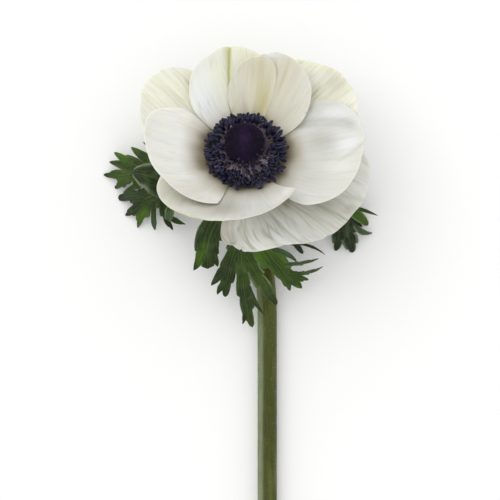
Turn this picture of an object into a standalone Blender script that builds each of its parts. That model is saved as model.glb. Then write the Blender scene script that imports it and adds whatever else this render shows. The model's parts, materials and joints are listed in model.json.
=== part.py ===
"""White anemone, one cut flower lying on a flat surface.

The stem lies along -Y with its cut end on the surface. Its neck bends upwards, so that the open
flower faces +Z and leans a little towards +Y. A ring of three divided leaves grows round the neck,
under the flower, and the tips of two of them rest on the surface.

Lengths are in metres, +Z is up, and the origin is the middle of the model's footprint. While the
parts are made, the flower's base is over the origin.
"""

import math
from dataclasses import dataclass

import bmesh
import bpy
from mathutils import Matrix, Vector
from mathutils.geometry import delaunay_2d_cdt, intersect_point_quad_2d

MM = 0.001
NAME = "anemone"

# Driving dimensions. The flower's base is the point on its axis where the tepals grow.
BASE_HEIGHT = 33.0 * MM
LEAN = math.radians(25)  # the flower's axis leans this far from +Z towards +Y
CUT_END = -161.0 * MM  # the stem's cut end, along Y from the flower's base
STEM_RADIUS = 3.5 * MM
NECK_RADIUS = 2.5 * MM
STEM_SHIFT = 8.0 * MM  # the stem runs this far to +X of the flower
GAP = 0.3 * MM  # clearance that keeps touching pieces apart

NECK_STRAIGHT = 9.6 * MM  # the neck follows the flower's axis this far before it bends
NECK_TOP = 3.9 * MM  # the neck ends this far under the flower's base
SHIFT_LENGTH = 70.0 * MM  # the neck reaches the stem's line within this length
INVOLUCRE = 20.0 * MM  # the leaves grow this far down the neck

RECEPTACLE_RADIUS = 5.5 * MM
DOME_RADIUS = 7.4 * MM
DOME_HALF_HEIGHT = 6.6 * MM
DOME_CENTRE = 10.9 * MM  # above the flower's base

TEPAL_THICKNESS = 0.5 * MM
OUTER_CLAW = -0.85 * MM  # height of the outermost tepal's claw over the flower's base
LAYER_STEP = 0.85 * MM  # height between the claws of one layer of tepals and the next
TEPAL_CLAW = 3.2 * MM  # half width where a tepal grows from the receptacle
TEPAL_CELLS = 9  # faces across and along a tepal
FILAMENT = 0.28 * MM
ANTHER = 0.62 * MM
ANTHER_LENGTH = 2.6 * MM
LEAF_THICKNESS = 0.6 * MM
LEAF_BLEND = 2.0 * MM  # distance over which the heights of neighbouring lobes are smoothed
LEAF_MERGE = 0.25 * MM  # corners this close, seen from above, become one
LEAF_FOLD = 0.2  # how much a lobe's edges rise over its midline, as a share of its half width
LOBE_STEPS = 5

# The flower's own frame has its origin at the flower's base and its +Z along the flower's axis.
FLOWER_TO_ROW = Matrix.Translation((0, 0, BASE_HEIGHT)) @ Matrix.Rotation(-LEAN, 4, "X")


@dataclass
class Tepal:
    """One white tepal. Angles are in degrees and lengths in millimetres."""

    name: str
    azimuth: float  # the direction it grows in, round the flower's axis from +X
    layer: int  # 0 is the outermost and lowest
    length: float
    width: float
    rise: tuple  # slope of its midline at the claw and at the rim
    cup: float  # turn of its cross section from the midline to one edge
    shoulder: float = 0.5  # share of its length that the corners of the rim reach
    flare: float = 0.9  # less than 1 where it widens soon after the claw
    squareness: tuple = (2.2, 2.2)  # exponent of the rim's curve, on the left and the right
    lean: float = 0.0  # sideways shift of the rim, as a share of the length
    twist: float = 0.0  # turn about the midline at the rim
    ruffle: float = 0.0  # height of the waves at the rim
    waves: float = 3.0  # number of waves from edge to edge


TEPALS = (
    Tepal("tepal_outer_low", 315, 0, 36, 60, (2, -12), 5, 0.4, 0.6, (2.6, 1.45), lean=0.1, ruffle=0.7),
    Tepal("tepal_outer_left", 147, 1, 38, 32, (2, 38), 12),
    Tepal("tepal_outer_right", 35, 1, 39, 40, (2, 34), 12),
    Tepal("tepal_right", 355, 2, 38, 41, (4, 36), 14),
    Tepal("tepal_top_left", 101, 2, 34, 31, (4, 50), 14),
    Tepal("tepal_low_left", 252, 3, 38, 52, (6, 60), 28, 0.5, 0.7, (1.6, 2.8), twist=10),
    Tepal("tepal_top_right", 64, 3, 33, 27, (6, 56), 14),
    Tepal("tepal_left", 200, 4, 36, 40, (9, 60), 22, 0.4, 0.6),
    Tepal("tepal_top_front", 83, 4, 30.5, 18.5, (7, 70), 14),
)


@dataclass
class Whorl:
    """One ring of stamens. Lengths are in millimetres, in the flower's own frame."""

    name: str
    count: int
    root: tuple  # radius and height at the receptacle
    elbow: tuple  # radius and height half way along the filament
    anther: tuple  # radius and height of the anther's foot
    tilt: float  # slope of the anther, in degrees


WHORLS = (
    Whorl("stamen_outer", 16, (5.9, 3.4), (9.0, 5.2), (12.0, 5.7), 8),
    Whorl("stamen_middle", 14, (5.7, 4.2), (8.0, 6.2), (10.2, 7.2), 25),
    Whorl("stamen_inner", 10, (5.2, 4.9), (7.6, 7.4), (8.7, 9.0), 50),
)


@dataclass
class Lobe:
    """One lobe of a divided leaf, in millimetres.

    Its tip is measured along X and Y from the flower's base, and up from the surface.
    """

    parent: int  # index of the lobe it grows from, or -1 where it grows from the neck
    share: float  # how far along its parent it starts
    tip: tuple
    width: float
    bow: float = 0.0  # how far its midline bends to the left
    arch: float = 1.0  # how far its midline bends upwards


LEFT_LEAF = (
    Lobe(-1, 0, (-27, -10, 11), 8, 0, 3),
    Lobe(0, 1.0, (-51.5, -5.7, 0), 7, -1, 3),
    Lobe(1, 0.45, (-47.5, -10.4, 1), 4, 0, 1),
    Lobe(1, 0.25, (-43.8, -11.6, 2.5), 4, 0, 1),
    Lobe(0, 0.95, (-49.3, -1.0, 2), 6, -1, 3),
    Lobe(0, 0.80, (-47.4, 2.5, 4), 8.5, 1, 3),
    Lobe(0, 0.65, (-41.1, 4.2, 7), 6.5, 1, 2),
    Lobe(0, 0.60, (-40.2, -5.0, 12), 12, -2, 5),
    Lobe(0, 0.50, (-31, -16, 8), 10, 1, 2),
    Lobe(8, 0.90, (-46.1, -14.1, 0), 6.5, -1, 2),
    Lobe(8, 0.90, (-43.9, -20.2, 0), 6, 1, 2),
    Lobe(8, 0.80, (-39.2, -24.9, 0), 7, 1, 2),
    Lobe(8, 0.95, (-32.6, -25.7, 2), 2.8, -1, 1),
    Lobe(8, 0.85, (-26.1, -25.7, 4), 5, -2, 1),
    Lobe(13, 0.6, (-21.3, -23.5, 8), 2.2, 1, 0),
    Lobe(13, 0.5, (-26.6, -16.5, 12), 3.2, 0, 1),
    Lobe(0, 0.30, (-17.2, 32.0, 15), 6, 3, -3),
    Lobe(0, 0.45, (-36.7, 5.9, 10), 5, 1, 1),
)

FRONT_LEAF = (
    Lobe(-1, 0, (-1, -27, 19.5), 8, 0, 1.5),
    Lobe(0, 0.05, (-14.3, -39.3, 14), 12, -5, 3),
    Lobe(1, 0.65, (-18.3, -40.1, 13), 5, 0, 0),
    Lobe(1, 0.65, (-10.0, -38.6, 14), 6, 0, 0.5),
    Lobe(0, 0.60, (-9.4, -47.9, 12), 9, 0, 3),
    Lobe(4, 0.65, (-12.2, -45.8, 12), 4, 0, 0),
    Lobe(4, 0.60, (-6.1, -50.1, 11), 5, 0, 0.5),
    Lobe(0, 0.90, (-1.5, -59.8, 9), 7.5, 0, 3),
    Lobe(7, 0.70, (3.2, -60.9, 8.5), 5, 0, 0),
    Lobe(7, 0.50, (7.9, -57.3, 10), 5, -1, 0.5),
    Lobe(7, 0.15, (11.4, -52.6, 11), 7.5, 1, 2),
    Lobe(0, 0.55, (20.7, -43.6, 12), 13, -1, 3),
    Lobe(11, 0.60, (16.1, -47.6, 11), 5, 0, 0.5),
    Lobe(11, 0.70, (22.9, -44.0, 12), 5, 0, 0.5),
    Lobe(11, 0.80, (27.9, -39.0, 13), 2.6, -1.5, 0),
    Lobe(11, 0.65, (26.4, -35.8, 15), 2.6, -2, 0),
    Lobe(11, 0.40, (22.1, -36.1, 15), 3, 3, 1),
)

RIGHT_LEAF = (
    Lobe(-1, 0, (27, -15, 10), 8, 0, 3),
    Lobe(0, 1.0, (48.0, -20.6, 4), 3.2, 1, 2),
    Lobe(0, 0.9, (44.9, -24.2, 0), 8, 1, 3),
    Lobe(0, 0.8, (46.3, -26.7, 0), 4, -1, 2),
    Lobe(0, 0.6, (40.5, -29.3, 0), 8, 0, 3),
    Lobe(4, 0.6, (38.7, -34.0, 0), 6.5, -1, 0.5),
    Lobe(4, 0.5, (32.6, -33.3, 0), 5, -1, 0.5),
    Lobe(0, 0.3, (20.9, -34.3, 5), 5, -2, 2),
    Lobe(0, 0.5, (28.9, -34.3, 3), 3, 1.5, 2),
    Lobe(0, 0.5, (38.0, -6.0, 5), 8, 1, 2),
    Lobe(9, 0.5, (41.0, -11.5, 4), 5, 0, 1),
    Lobe(9, 0.4, (33.0, 2.5, 7), 5, 0, 1),
)


def smooth_step(value):
    """Ease from 0 to 1 while the value runs from 0 to 1."""
    value = min(1.0, max(0.0, value))
    return value * value * (3 - 2 * value)


# ---------------------------------------------------------------- stem and neck


def stem_point(distance):
    """Point on the stem's centre line, this far down from the flower's base."""
    bend = math.radians(90) - LEAN
    drop = BASE_HEIGHT - STEM_RADIUS - NECK_STRAIGHT * math.cos(LEAN)
    radius = drop / (1 - math.cos(bend))
    straight = min(distance, NECK_STRAIGHT)
    y = -straight * math.sin(LEAN)
    z = BASE_HEIGHT - straight * math.cos(LEAN)
    angle = min(bend, max(0.0, distance - NECK_STRAIGHT) / radius)
    y -= radius * (math.sin(bend) - math.sin(bend - angle))
    z -= radius * (math.cos(bend - angle) - math.cos(bend))
    y -= max(0.0, distance - NECK_STRAIGHT - bend * radius)
    x = STEM_SHIFT * smooth_step(distance / SHIFT_LENGTH)
    return Vector((x, y, z))


def stem_length():
    """Distance along the centre line from the flower's base to the cut end."""
    past_the_end = -2 * CUT_END
    return past_the_end - (CUT_END - stem_point(past_the_end).y)


def stem_radius(distance):
    swell = smooth_step((distance - INVOLUCRE * 0.8) / (INVOLUCRE * 2))
    return NECK_RADIUS + (STEM_RADIUS - NECK_RADIUS) * swell


def add_stem(finish):
    curve = bpy.data.curves.new("stem", "CURVE")
    curve.dimensions = "3D"
    curve.bevel_depth = STEM_RADIUS
    curve.bevel_resolution = 4
    curve.use_fill_caps = True
    rings = 34
    spline = curve.splines.new("POLY")
    spline.points.add(rings - 1)
    length = stem_length()
    for index, point in enumerate(spline.points):
        share = index / (rings - 1)
        distance = NECK_TOP + (length - NECK_TOP) * share**1.35
        point.co = (*stem_point(distance), 1)
        point.radius = stem_radius(distance) / STEM_RADIUS
    return place_in_model(bpy.data.objects.new("stem", curve), finish)


# ---------------------------------------------------------------- flower


def add_receptacle(finish):
    """Turned swelling at the top of the neck, which carries tepals, stamens and dome."""
    profile = (
        (0.0, 4.0),
        (4.2, 4.0),
        (5.0, 3.4),
        (5.5, 2.6),
        (5.5, -1.4),
        (4.4, -2.5),
        (2.7, -3.6),
        (0.0, -3.6),
    )
    return add_turned("receptacle", profile, 20, finish)


def add_turned(name, profile, steps, finish):
    """Solid of revolution about the flower's axis; the profile runs from top to bottom."""
    mesh = bpy.data.meshes.new(name)
    shape = bmesh.new()
    points = [shape.verts.new((radius * MM, 0, height * MM)) for radius, height in profile]
    edges = [shape.edges.new(pair) for pair in zip(points, points[1:])]
    bmesh.ops.spin(
        shape,
        geom=points + edges,
        axis=(0, 0, 1),
        cent=(0, 0, 0),
        steps=steps,
        angle=math.tau,
        use_merge=True,
    )
    bmesh.ops.remove_doubles(shape, verts=shape.verts, dist=0.01 * MM)
    bmesh.ops.recalc_face_normals(shape, faces=shape.faces)
    shape.to_mesh(mesh)
    shape.free()
    made = bpy.data.objects.new(name, mesh)
    made.matrix_world = FLOWER_TO_ROW
    return place_in_model(made, finish)


def add_dome(finish):
    """Rounded mass of pistils in the middle of the flower."""
    mesh = bpy.data.meshes.new("pistil_dome")
    shape = bmesh.new()
    bmesh.ops.create_uvsphere(shape, u_segments=18, v_segments=10, radius=1)
    bmesh.ops.scale(shape, verts=shape.verts, vec=(DOME_RADIUS, DOME_RADIUS, DOME_HALF_HEIGHT))
    shape.to_mesh(mesh)
    shape.free()
    made = bpy.data.objects.new("pistil_dome", mesh)
    made.matrix_world = FLOWER_TO_ROW @ Matrix.Translation((0, 0, DOME_CENTRE))
    return place_in_model(made, finish)


def tepal_point(tepal, u, t):
    """Point of a tepal's middle surface, in the flower's frame.

    u runs across from -1 to 1, and t runs along from 0 at the claw to 1 at the rim.
    """
    length, half = tepal.length * MM, tepal.width / 2 * MM
    power = tepal.squareness[0] if u > 0 else tepal.squareness[1]
    crown = (1 - min(1.0, abs(u)) ** power) ** (1 / power)
    along = t * length * (tepal.shoulder + (1 - tepal.shoulder) * crown)
    widened = math.sin(math.pi / 2 * t) ** tepal.flare
    across = u * (TEPAL_CLAW + (half - TEPAL_CLAW) * widened)
    across += tepal.lean * length * (along / length) ** 2

    low, high = (math.radians(angle) for angle in tepal.rise)
    bend = (high - low) / length
    slope = low + bend * along
    out = (math.sin(slope) - math.sin(low)) / bend
    up = (math.cos(low) - math.cos(slope)) / bend

    curve = math.radians(tepal.cup) / half
    side = math.sin(curve * across) / curve
    lift = (1 - math.cos(curve * across)) / curve
    lift += tepal.ruffle * MM * t**3 * math.sin(math.pi * tepal.waves * u)
    roll = math.radians(tepal.twist) * t
    side, lift = (
        side * math.cos(roll) - lift * math.sin(roll),
        side * math.sin(roll) + lift * math.cos(roll),
    )
    radial = RECEPTACLE_RADIUS + GAP + TEPAL_THICKNESS / 2 + out - lift * math.sin(slope)
    height = OUTER_CLAW + tepal.layer * LAYER_STEP + up + lift * math.cos(slope)
    turn = math.radians(tepal.azimuth)
    x = radial * math.cos(turn) - side * math.sin(turn)
    y = radial * math.sin(turn) + side * math.cos(turn)
    return Vector((x, y, height))


def add_tepal(tepal, finish):
    """Curved sheet with a round rim, thickened to a shell."""
    mesh = bpy.data.meshes.new(tepal.name)
    shape = bmesh.new()
    bmesh.ops.create_grid(shape, x_segments=TEPAL_CELLS, y_segments=TEPAL_CELLS, size=1)
    for vertex in shape.verts:
        vertex.co = tepal_point(tepal, -vertex.co.x, (vertex.co.y + 1) / 2)
    shape.to_mesh(mesh)
    shape.free()
    made = bpy.data.objects.new(tepal.name, mesh)
    made.matrix_world = FLOWER_TO_ROW
    shell = made.modifiers.new("thickness", "SOLIDIFY")
    shell.thickness = TEPAL_THICKNESS
    shell.offset = 0
    return place_in_model(made, finish)


def add_stamen(name, whorl, azimuth, finish):
    """Thin filament that ends in an oval anther, drawn as one tube of changing radius."""
    curve = bpy.data.curves.new(name, "CURVE")
    curve.dimensions = "3D"
    curve.bevel_depth = ANTHER
    curve.bevel_resolution = 1
    curve.use_fill_caps = True
    slope = math.radians(whorl.tilt)
    foot = Vector(whorl.anther) * MM
    ahead = Vector((math.cos(slope), math.sin(slope))) * ANTHER_LENGTH
    route = [(Vector(whorl.root) * MM, FILAMENT), (Vector(whorl.elbow) * MM, FILAMENT)]
    for share, radius in ((0.0, FILAMENT), (0.2, ANTHER), (0.75, ANTHER), (1.0, FILAMENT)):
        route.append((foot + ahead * share, radius))
    spline = curve.splines.new("POLY")
    spline.points.add(len(route) - 1)
    for point, (place_along, radius) in zip(spline.points, route):
        across, height = place_along
        point.co = (across * math.cos(azimuth), across * math.sin(azimuth), height, 1)
        point.radius = radius / ANTHER
    made = bpy.data.objects.new(name, curve)
    made.matrix_world = FLOWER_TO_ROW
    return place_in_model(made, finish)


def add_stamens(finish):
    for ring, whorl in enumerate(WHORLS):
        for index in range(whorl.count):
            azimuth = math.tau * (index + 0.5 * ring) / whorl.count
            add_stamen(f"{whorl.name}_{index + 1:02d}", whorl, azimuth, finish)


# ---------------------------------------------------------------- leaves


def lobe_route(lobe, start):
    """Points along a lobe's midline; it lies flat where it meets the surface."""
    tip = Vector(lobe.tip) * MM
    across = (tip - start).cross(Vector((0, 0, -1))).normalized()
    middle = (start + tip) / 2 + across * lobe.bow * MM + Vector((0, 0, lobe.arch * MM))
    control = 2 * middle - (start + tip) / 2
    points = []
    for index in range(LOBE_STEPS + 1):
        share = index / LOBE_STEPS
        point = start.lerp(control, share).lerp(control.lerp(tip, share), share)
        point.z = max(point.z, LEAF_THICKNESS / 2)
        points.append(point)
    points[-1] = tip
    return points


def along_route(route, share):
    """Point this share of the way along a row of points."""
    position = share * (len(route) - 1)
    before = min(int(position), len(route) - 2)
    return route[before].lerp(route[before + 1], position - before)


def lobe_half_width(lobe, share):
    """Half width along a lobe: part of its parent at the foot, widest near the middle."""
    widest = 0.45
    foot = 0.5
    swell = foot + (1 - foot) * math.sin(math.pi / 2 * min(1.0, share / widest))
    taper = min(1.0, (1 - share) / (1 - widest)) ** 0.75
    return lobe.width / 2 * MM * swell * taper


def lobe_corners(lobe, route):
    """Rows of three points across a lobe: left edge, midline and right edge."""
    rows = []
    for index, centre in enumerate(route):
        ahead = route[min(index + 1, LOBE_STEPS)] - route[max(0, index - 1)]
        side = Vector((0, 0, 1)).cross(ahead).normalized()
        half = lobe_half_width(lobe, index / LOBE_STEPS)
        fold = Vector((0, 0, LEAF_FOLD * half))
        rows.append((centre + side * half + fold, centre, centre - side * half + fold))
    return rows


def blended_height(place, corners):
    """Height of a leaf at a place seen from above, smoothed over the corners near it."""
    total = weights = 0.0
    for corner in corners:
        weight = 1 / ((corner.xy - place).length_squared + LEAF_BLEND**2) ** 2
        total += weight * corner.z
        weights += weight
    return total / weights


def merged_outlines(places, faces):
    """Merge overlapping flat faces into one flat mesh; returns its corners and faces."""
    merged = delaunay_2d_cdt(places, [], faces, 0, LEAF_MERGE)
    corners, triangles = merged[0], merged[2]
    outlines = [[places[corner] for corner in face] for face in faces]
    kept = []
    for triangle in triangles:
        middle = sum((corners[corner] for corner in triangle), Vector((0, 0))) / 3
        if any(intersect_point_quad_2d(middle, *outline) for outline in outlines):
            kept.append(triangle)
    return corners, kept


def add_leaf(name, lobes, root, finish):
    """Divided leaf: its lobes, seen from above, are merged into one sheet and thickened."""
    routes = []
    corners = []
    faces = []
    for lobe in lobes:
        start = root if lobe.parent < 0 else along_route(routes[lobe.parent], lobe.share)
        routes.append(lobe_route(lobe, start))
        first = len(corners)
        for row in lobe_corners(lobe, routes[-1]):
            corners.extend(row)
        for left in range(first, len(corners) - 3, 3):
            faces.append((left, left + 1, left + 4, left + 3))
            faces.append((left + 1, left + 2, left + 5, left + 4))
    places, sheet = merged_outlines([corner.xy for corner in corners], faces)
    lowest = LEAF_THICKNESS / 2
    points = [(*place, max(lowest, blended_height(place, corners))) for place in places]
    mesh = bpy.data.meshes.new(name)
    mesh.from_pydata(points, [], sheet)
    shape = bmesh.new()
    shape.from_mesh(mesh)
    loose = [vertex for vertex in shape.verts if not vertex.link_faces]
    bmesh.ops.delete(shape, geom=loose, context="VERTS")
    shape.to_mesh(mesh)
    shape.free()
    made = bpy.data.objects.new(name, mesh)
    blade = made.modifiers.new("thickness", "SOLIDIFY")
    blade.thickness = LEAF_THICKNESS
    blade.offset = 0
    return place_in_model(made, finish)


def add_leaves(finish):
    neck = stem_point(INVOLUCRE)
    clear = NECK_RADIUS + GAP + LEAF_THICKNESS / 2
    add_leaf("leaf_left", LEFT_LEAF, neck + Vector((-clear, 0.5 * MM, 0)), finish)
    add_leaf("leaf_right", RIGHT_LEAF, neck + Vector((clear, 0.5 * MM, 0)), finish)
    add_leaf("leaf_front", FRONT_LEAF, neck + Vector((0, -2.6 * MM, 2.6 * MM)), finish)


# ---------------------------------------------------------------- assembly


def material(name, colour, roughness):
    made = bpy.data.materials.new(name)
    made.use_nodes = True
    shader = made.node_tree.nodes["Principled BSDF"]
    shader.inputs["Base Color"].default_value = (*colour, 1)
    shader.inputs["Roughness"].default_value = roughness
    return made


def place_in_model(made, finish):
    """Link an object to the model's collection and give it its material."""
    bpy.data.collections[NAME].objects.link(made)
    made.data.materials.append(finish)
    return made


def centre_on_footprint():
    """Move the model so that the origin is the middle of its footprint, on the surface."""
    bpy.context.view_layer.update()
    graph = bpy.context.evaluated_depsgraph_get()
    corners = []
    for piece in bpy.data.collections[NAME].objects:
        mesh = piece.evaluated_get(graph).to_mesh()
        corners.extend(piece.matrix_world @ vertex.co for vertex in mesh.vertices)
    lows = [min(corner[axis] for corner in corners) for axis in range(3)]
    highs = [max(corner[axis] for corner in corners) for axis in range(3)]
    middle = Vector(((lows[0] + highs[0]) / 2, (lows[1] + highs[1]) / 2, lows[2]))
    shift = Matrix.Translation(-middle)
    for piece in bpy.data.objects:
        piece.matrix_world = shift @ piece.matrix_world


def main():
    for old in list(bpy.data.objects):
        bpy.data.objects.remove(old)
    bpy.context.scene.collection.children.link(bpy.data.collections.new(NAME))

    add_stem(material("stem_green", (0.075, 0.090, 0.028), 0.55))
    add_receptacle(material("receptacle_green", (0.30, 0.33, 0.14), 0.6))
    add_dome(material("pistil_purple", (0.018, 0.012, 0.030), 0.7))
    white = material("tepal_white", (0.80, 0.79, 0.71), 0.5)
    for tepal in TEPALS:
        add_tepal(tepal, white)
    add_stamens(material("stamen_navy", (0.022, 0.020, 0.045), 0.45))
    add_leaves(material("leaf_green", (0.040, 0.075, 0.020), 0.5))
    centre_on_footprint()


main()
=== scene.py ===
"""Looks of the white anemone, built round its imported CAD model.

The flower's own frame has its origin at the flower's base, where the tepals grow, and its +Z along
the flower's axis. Leaves and stem are laid out from the point on the surface under that base.
Shapes follow the CAD model's formulas, with finer detail added. Lengths are in metres, unless they
are multiplied by MM or a comment says millimetres.
"""

import json
import math
import random
from dataclasses import dataclass

import bpy
import numpy as np
from mathutils import Matrix, Vector, noise
from mathutils.geometry import delaunay_2d_cdt

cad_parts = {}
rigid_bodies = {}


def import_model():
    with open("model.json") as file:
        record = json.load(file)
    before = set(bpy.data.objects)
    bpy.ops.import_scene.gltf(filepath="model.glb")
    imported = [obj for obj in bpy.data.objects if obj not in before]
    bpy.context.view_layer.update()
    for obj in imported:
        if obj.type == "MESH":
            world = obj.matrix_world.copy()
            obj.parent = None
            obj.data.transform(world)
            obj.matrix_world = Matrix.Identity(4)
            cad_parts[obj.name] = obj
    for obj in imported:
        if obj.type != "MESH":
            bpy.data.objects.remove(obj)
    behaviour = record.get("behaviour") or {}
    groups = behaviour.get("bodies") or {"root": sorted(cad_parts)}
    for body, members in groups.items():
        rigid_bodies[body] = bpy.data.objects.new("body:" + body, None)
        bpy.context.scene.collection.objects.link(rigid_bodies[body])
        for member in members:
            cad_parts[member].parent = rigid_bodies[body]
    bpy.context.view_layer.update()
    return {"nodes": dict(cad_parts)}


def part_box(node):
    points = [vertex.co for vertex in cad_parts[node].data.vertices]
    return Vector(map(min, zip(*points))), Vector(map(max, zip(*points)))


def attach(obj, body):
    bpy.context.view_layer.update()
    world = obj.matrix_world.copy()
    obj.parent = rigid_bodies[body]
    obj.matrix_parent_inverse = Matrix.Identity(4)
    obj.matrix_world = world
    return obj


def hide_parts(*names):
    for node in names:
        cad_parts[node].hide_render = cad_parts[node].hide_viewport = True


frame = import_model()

MM = 0.001
SEED = 7

# ---- Frame, as in the CAD model

LEAN = math.radians(25)
DOME_CENTRE = 10.9 * MM
DOME_RADIUS = 7.4 * MM
DOME_HALF_HEIGHT = 6.6 * MM
CUT_END = -161.0 * MM
STEM_RADIUS = 3.5 * MM
NECK_RADIUS = 2.5 * MM
STEM_SHIFT = 8.0 * MM
GAP = 0.3 * MM
NECK_STRAIGHT = 9.6 * MM
NECK_TOP = 3.9 * MM
SHIFT_LENGTH = 70.0 * MM
INVOLUCRE = 20.0 * MM
RECEPTACLE_RADIUS = 5.5 * MM
TEPAL_HALF_THICKNESS = 0.25 * MM
OUTER_CLAW = -0.85 * MM
LAYER_STEP = 0.85 * MM
TEPAL_CLAW = 3.2 * MM
LEAF_HALF_THICKNESS = 0.3 * MM

dome_low, dome_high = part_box("pistil_dome")
AXIS = Vector((0, math.sin(LEAN), math.cos(LEAN)))
BASE = (dome_low + dome_high) / 2 - AXIS * DOME_CENTRE
FLOWER = Matrix.Translation(BASE) @ Matrix.Rotation(-LEAN, 4, "X")
GROUND = Matrix.Translation((BASE.x, BASE.y, 0))


def srgb(red, green, blue):
    """Linear colour from display values between 0 and 255."""
    return tuple(((value / 255 + 0.055) / 1.055) ** 2.4 for value in (red, green, blue))


def smooth_step(value, low=0.0, high=1.0):
    value = np.clip((value - low) / (high - low), 0, 1)
    return value * value * (3 - 2 * value)


def bell(value, middle, spread):
    """Soft bump of height 1."""
    return np.exp(-(((value - middle) / spread) ** 2))


def unit(vector):
    return vector / np.linalg.norm(vector)


def turns(count):
    """Angles spread evenly round a circle."""
    return np.linspace(0, math.tau, count, endpoint=False)


def blend(first, second, share):
    """Mix of two colours, or of rows of colours, by a share for each row."""
    share = np.asarray(share, float)[..., None]
    return np.asarray(first) * (1 - share) + np.asarray(second) * share


def noise_field(*coordinates):
    """Smooth noise between about -1 and 1, for rows of up to three coordinates."""
    rows = np.broadcast_arrays(*coordinates)
    flat = np.stack([row.ravel() for row in rows], 1)
    values = [noise.noise(Vector(place)) for place in flat]
    return np.array(values).reshape(rows[0].shape)


# ---- Meshes and pieces


def add_object(name, data):
    made = bpy.data.objects.new(name, data)
    bpy.context.scene.collection.objects.link(made)
    return made


class Shape:
    """Gathers the points, faces, colours and UV places of one piece."""

    def __init__(self):
        self.points, self.faces, self.colours, self.uvs = [], [], [], []
        self.count = 0

    def add(self, points, faces, colours, uvs=None):
        """Add a part. Rows may be in a grid, and one colour may stand for all its points.

        uvs has a pair for each point, or a pair for each corner of each face.
        """
        points = np.asarray(points, float).reshape(-1, 3)
        corners = np.concatenate([np.asarray(face) for face in faces])
        uvs = np.zeros((len(points), 2)) if uvs is None else uvs.reshape(-1, 2)
        self.uvs.append(uvs[corners] if len(uvs) == len(points) else uvs)
        self.faces.extend(tuple(int(corner) + self.count for corner in face) for face in faces)
        self.points.append(points)
        self.colours.append(np.broadcast_to(np.reshape(colours, (-1, 3)), points.shape))
        self.count += len(points)

    def make(self, name, frame_matrix, finishes, nodes=()):
        """The finished piece, riding on the model's only body."""
        matrix = np.array(frame_matrix)
        points = np.concatenate(self.points) @ matrix[:3, :3].T + matrix[:3, 3]
        mesh = bpy.data.meshes.new(name)
        mesh.from_pydata(points.tolist(), [], self.faces)
        colours = np.concatenate(self.colours)
        tint = mesh.color_attributes.new("tint", "FLOAT_COLOR", "POINT")
        tint.data.foreach_set("color", np.c_[colours, np.ones(len(colours))].ravel())
        layer = mesh.uv_layers.new(name="UVMap")
        layer.data.foreach_set("uv", np.concatenate(self.uvs).ravel())
        for finish in finishes:
            mesh.materials.append(finish)
        mesh.shade_smooth()
        piece = add_object(name, mesh)
        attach(piece, "root")
        if nodes:
            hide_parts(*nodes)
        return piece


def grid_faces(rows, columns, closed=False):
    """Four-sided faces over rows of corners; closed joins each row's end to its start."""
    faces = []
    for row in range(rows - 1):
        for column in range(columns if closed else columns - 1):
            after = (column + 1) % columns
            low, high = row * columns, (row + 1) * columns
            faces.append((low + column, low + after, high + after, high + column))
    return faces


def closed_faces(rows, sides):
    """Faces round closed rows of corners, then one over each end."""
    last = (rows - 1) * sides
    ends = [tuple(range(sides))[::-1], tuple(range(last, last + sides))]
    return grid_faces(rows, sides, closed=True) + ends


def tube(route, radii, sides):
    """Corners and faces of a closed tube; a radius is for a whole row, or one for each side."""
    route = np.asarray(route, float)
    ahead = np.gradient(route, axis=0)
    ahead /= np.linalg.norm(ahead, axis=1)[:, None]
    side = np.cross(ahead[0], (0.0, 0.0, 1.0))
    if np.linalg.norm(side) < 0.1:
        side = np.cross(ahead[0], (1.0, 0.0, 0.0))
    turn = turns(sides)
    rows = []
    for centre, forward, radius in zip(route, ahead, radii):
        side = unit(side - forward * np.dot(side, forward))
        over = np.cross(side, forward)
        ring = np.outer(np.cos(turn), side) + np.outer(np.sin(turn), over)
        rows.append(centre + np.reshape(radius, (-1, 1)) * ring)
    return np.concatenate(rows), closed_faces(len(route), sides)


def spun(profile, steps):
    """Corners and faces of a profile of (radius, height) rows turned about +Z."""
    circle = np.c_[np.cos(turns(steps)), np.sin(turns(steps)), np.ones(steps)]
    rows = [circle * (radius, radius, height) for radius, height in profile]
    return np.concatenate(rows), closed_faces(len(rows), steps)


def shell(piece, thickness, weights=()):
    """Give an open sheet its thickness; its second finish goes below.

    Where weights are given, it is full at 1 and thins to 0.3 of that at 0.
    """
    solid = piece.modifiers.new("thickness", "SOLIDIFY")
    solid.thickness = thickness
    solid.offset = 0
    solid.material_offset = 1
    if len(weights):
        full = piece.vertex_groups.new(name="full")
        for index, weight in enumerate(weights):
            full.add([index], float(weight), "REPLACE")
        solid.vertex_group = full.name
        solid.thickness_vertex_group = 0.3


# ---- Materials


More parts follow.
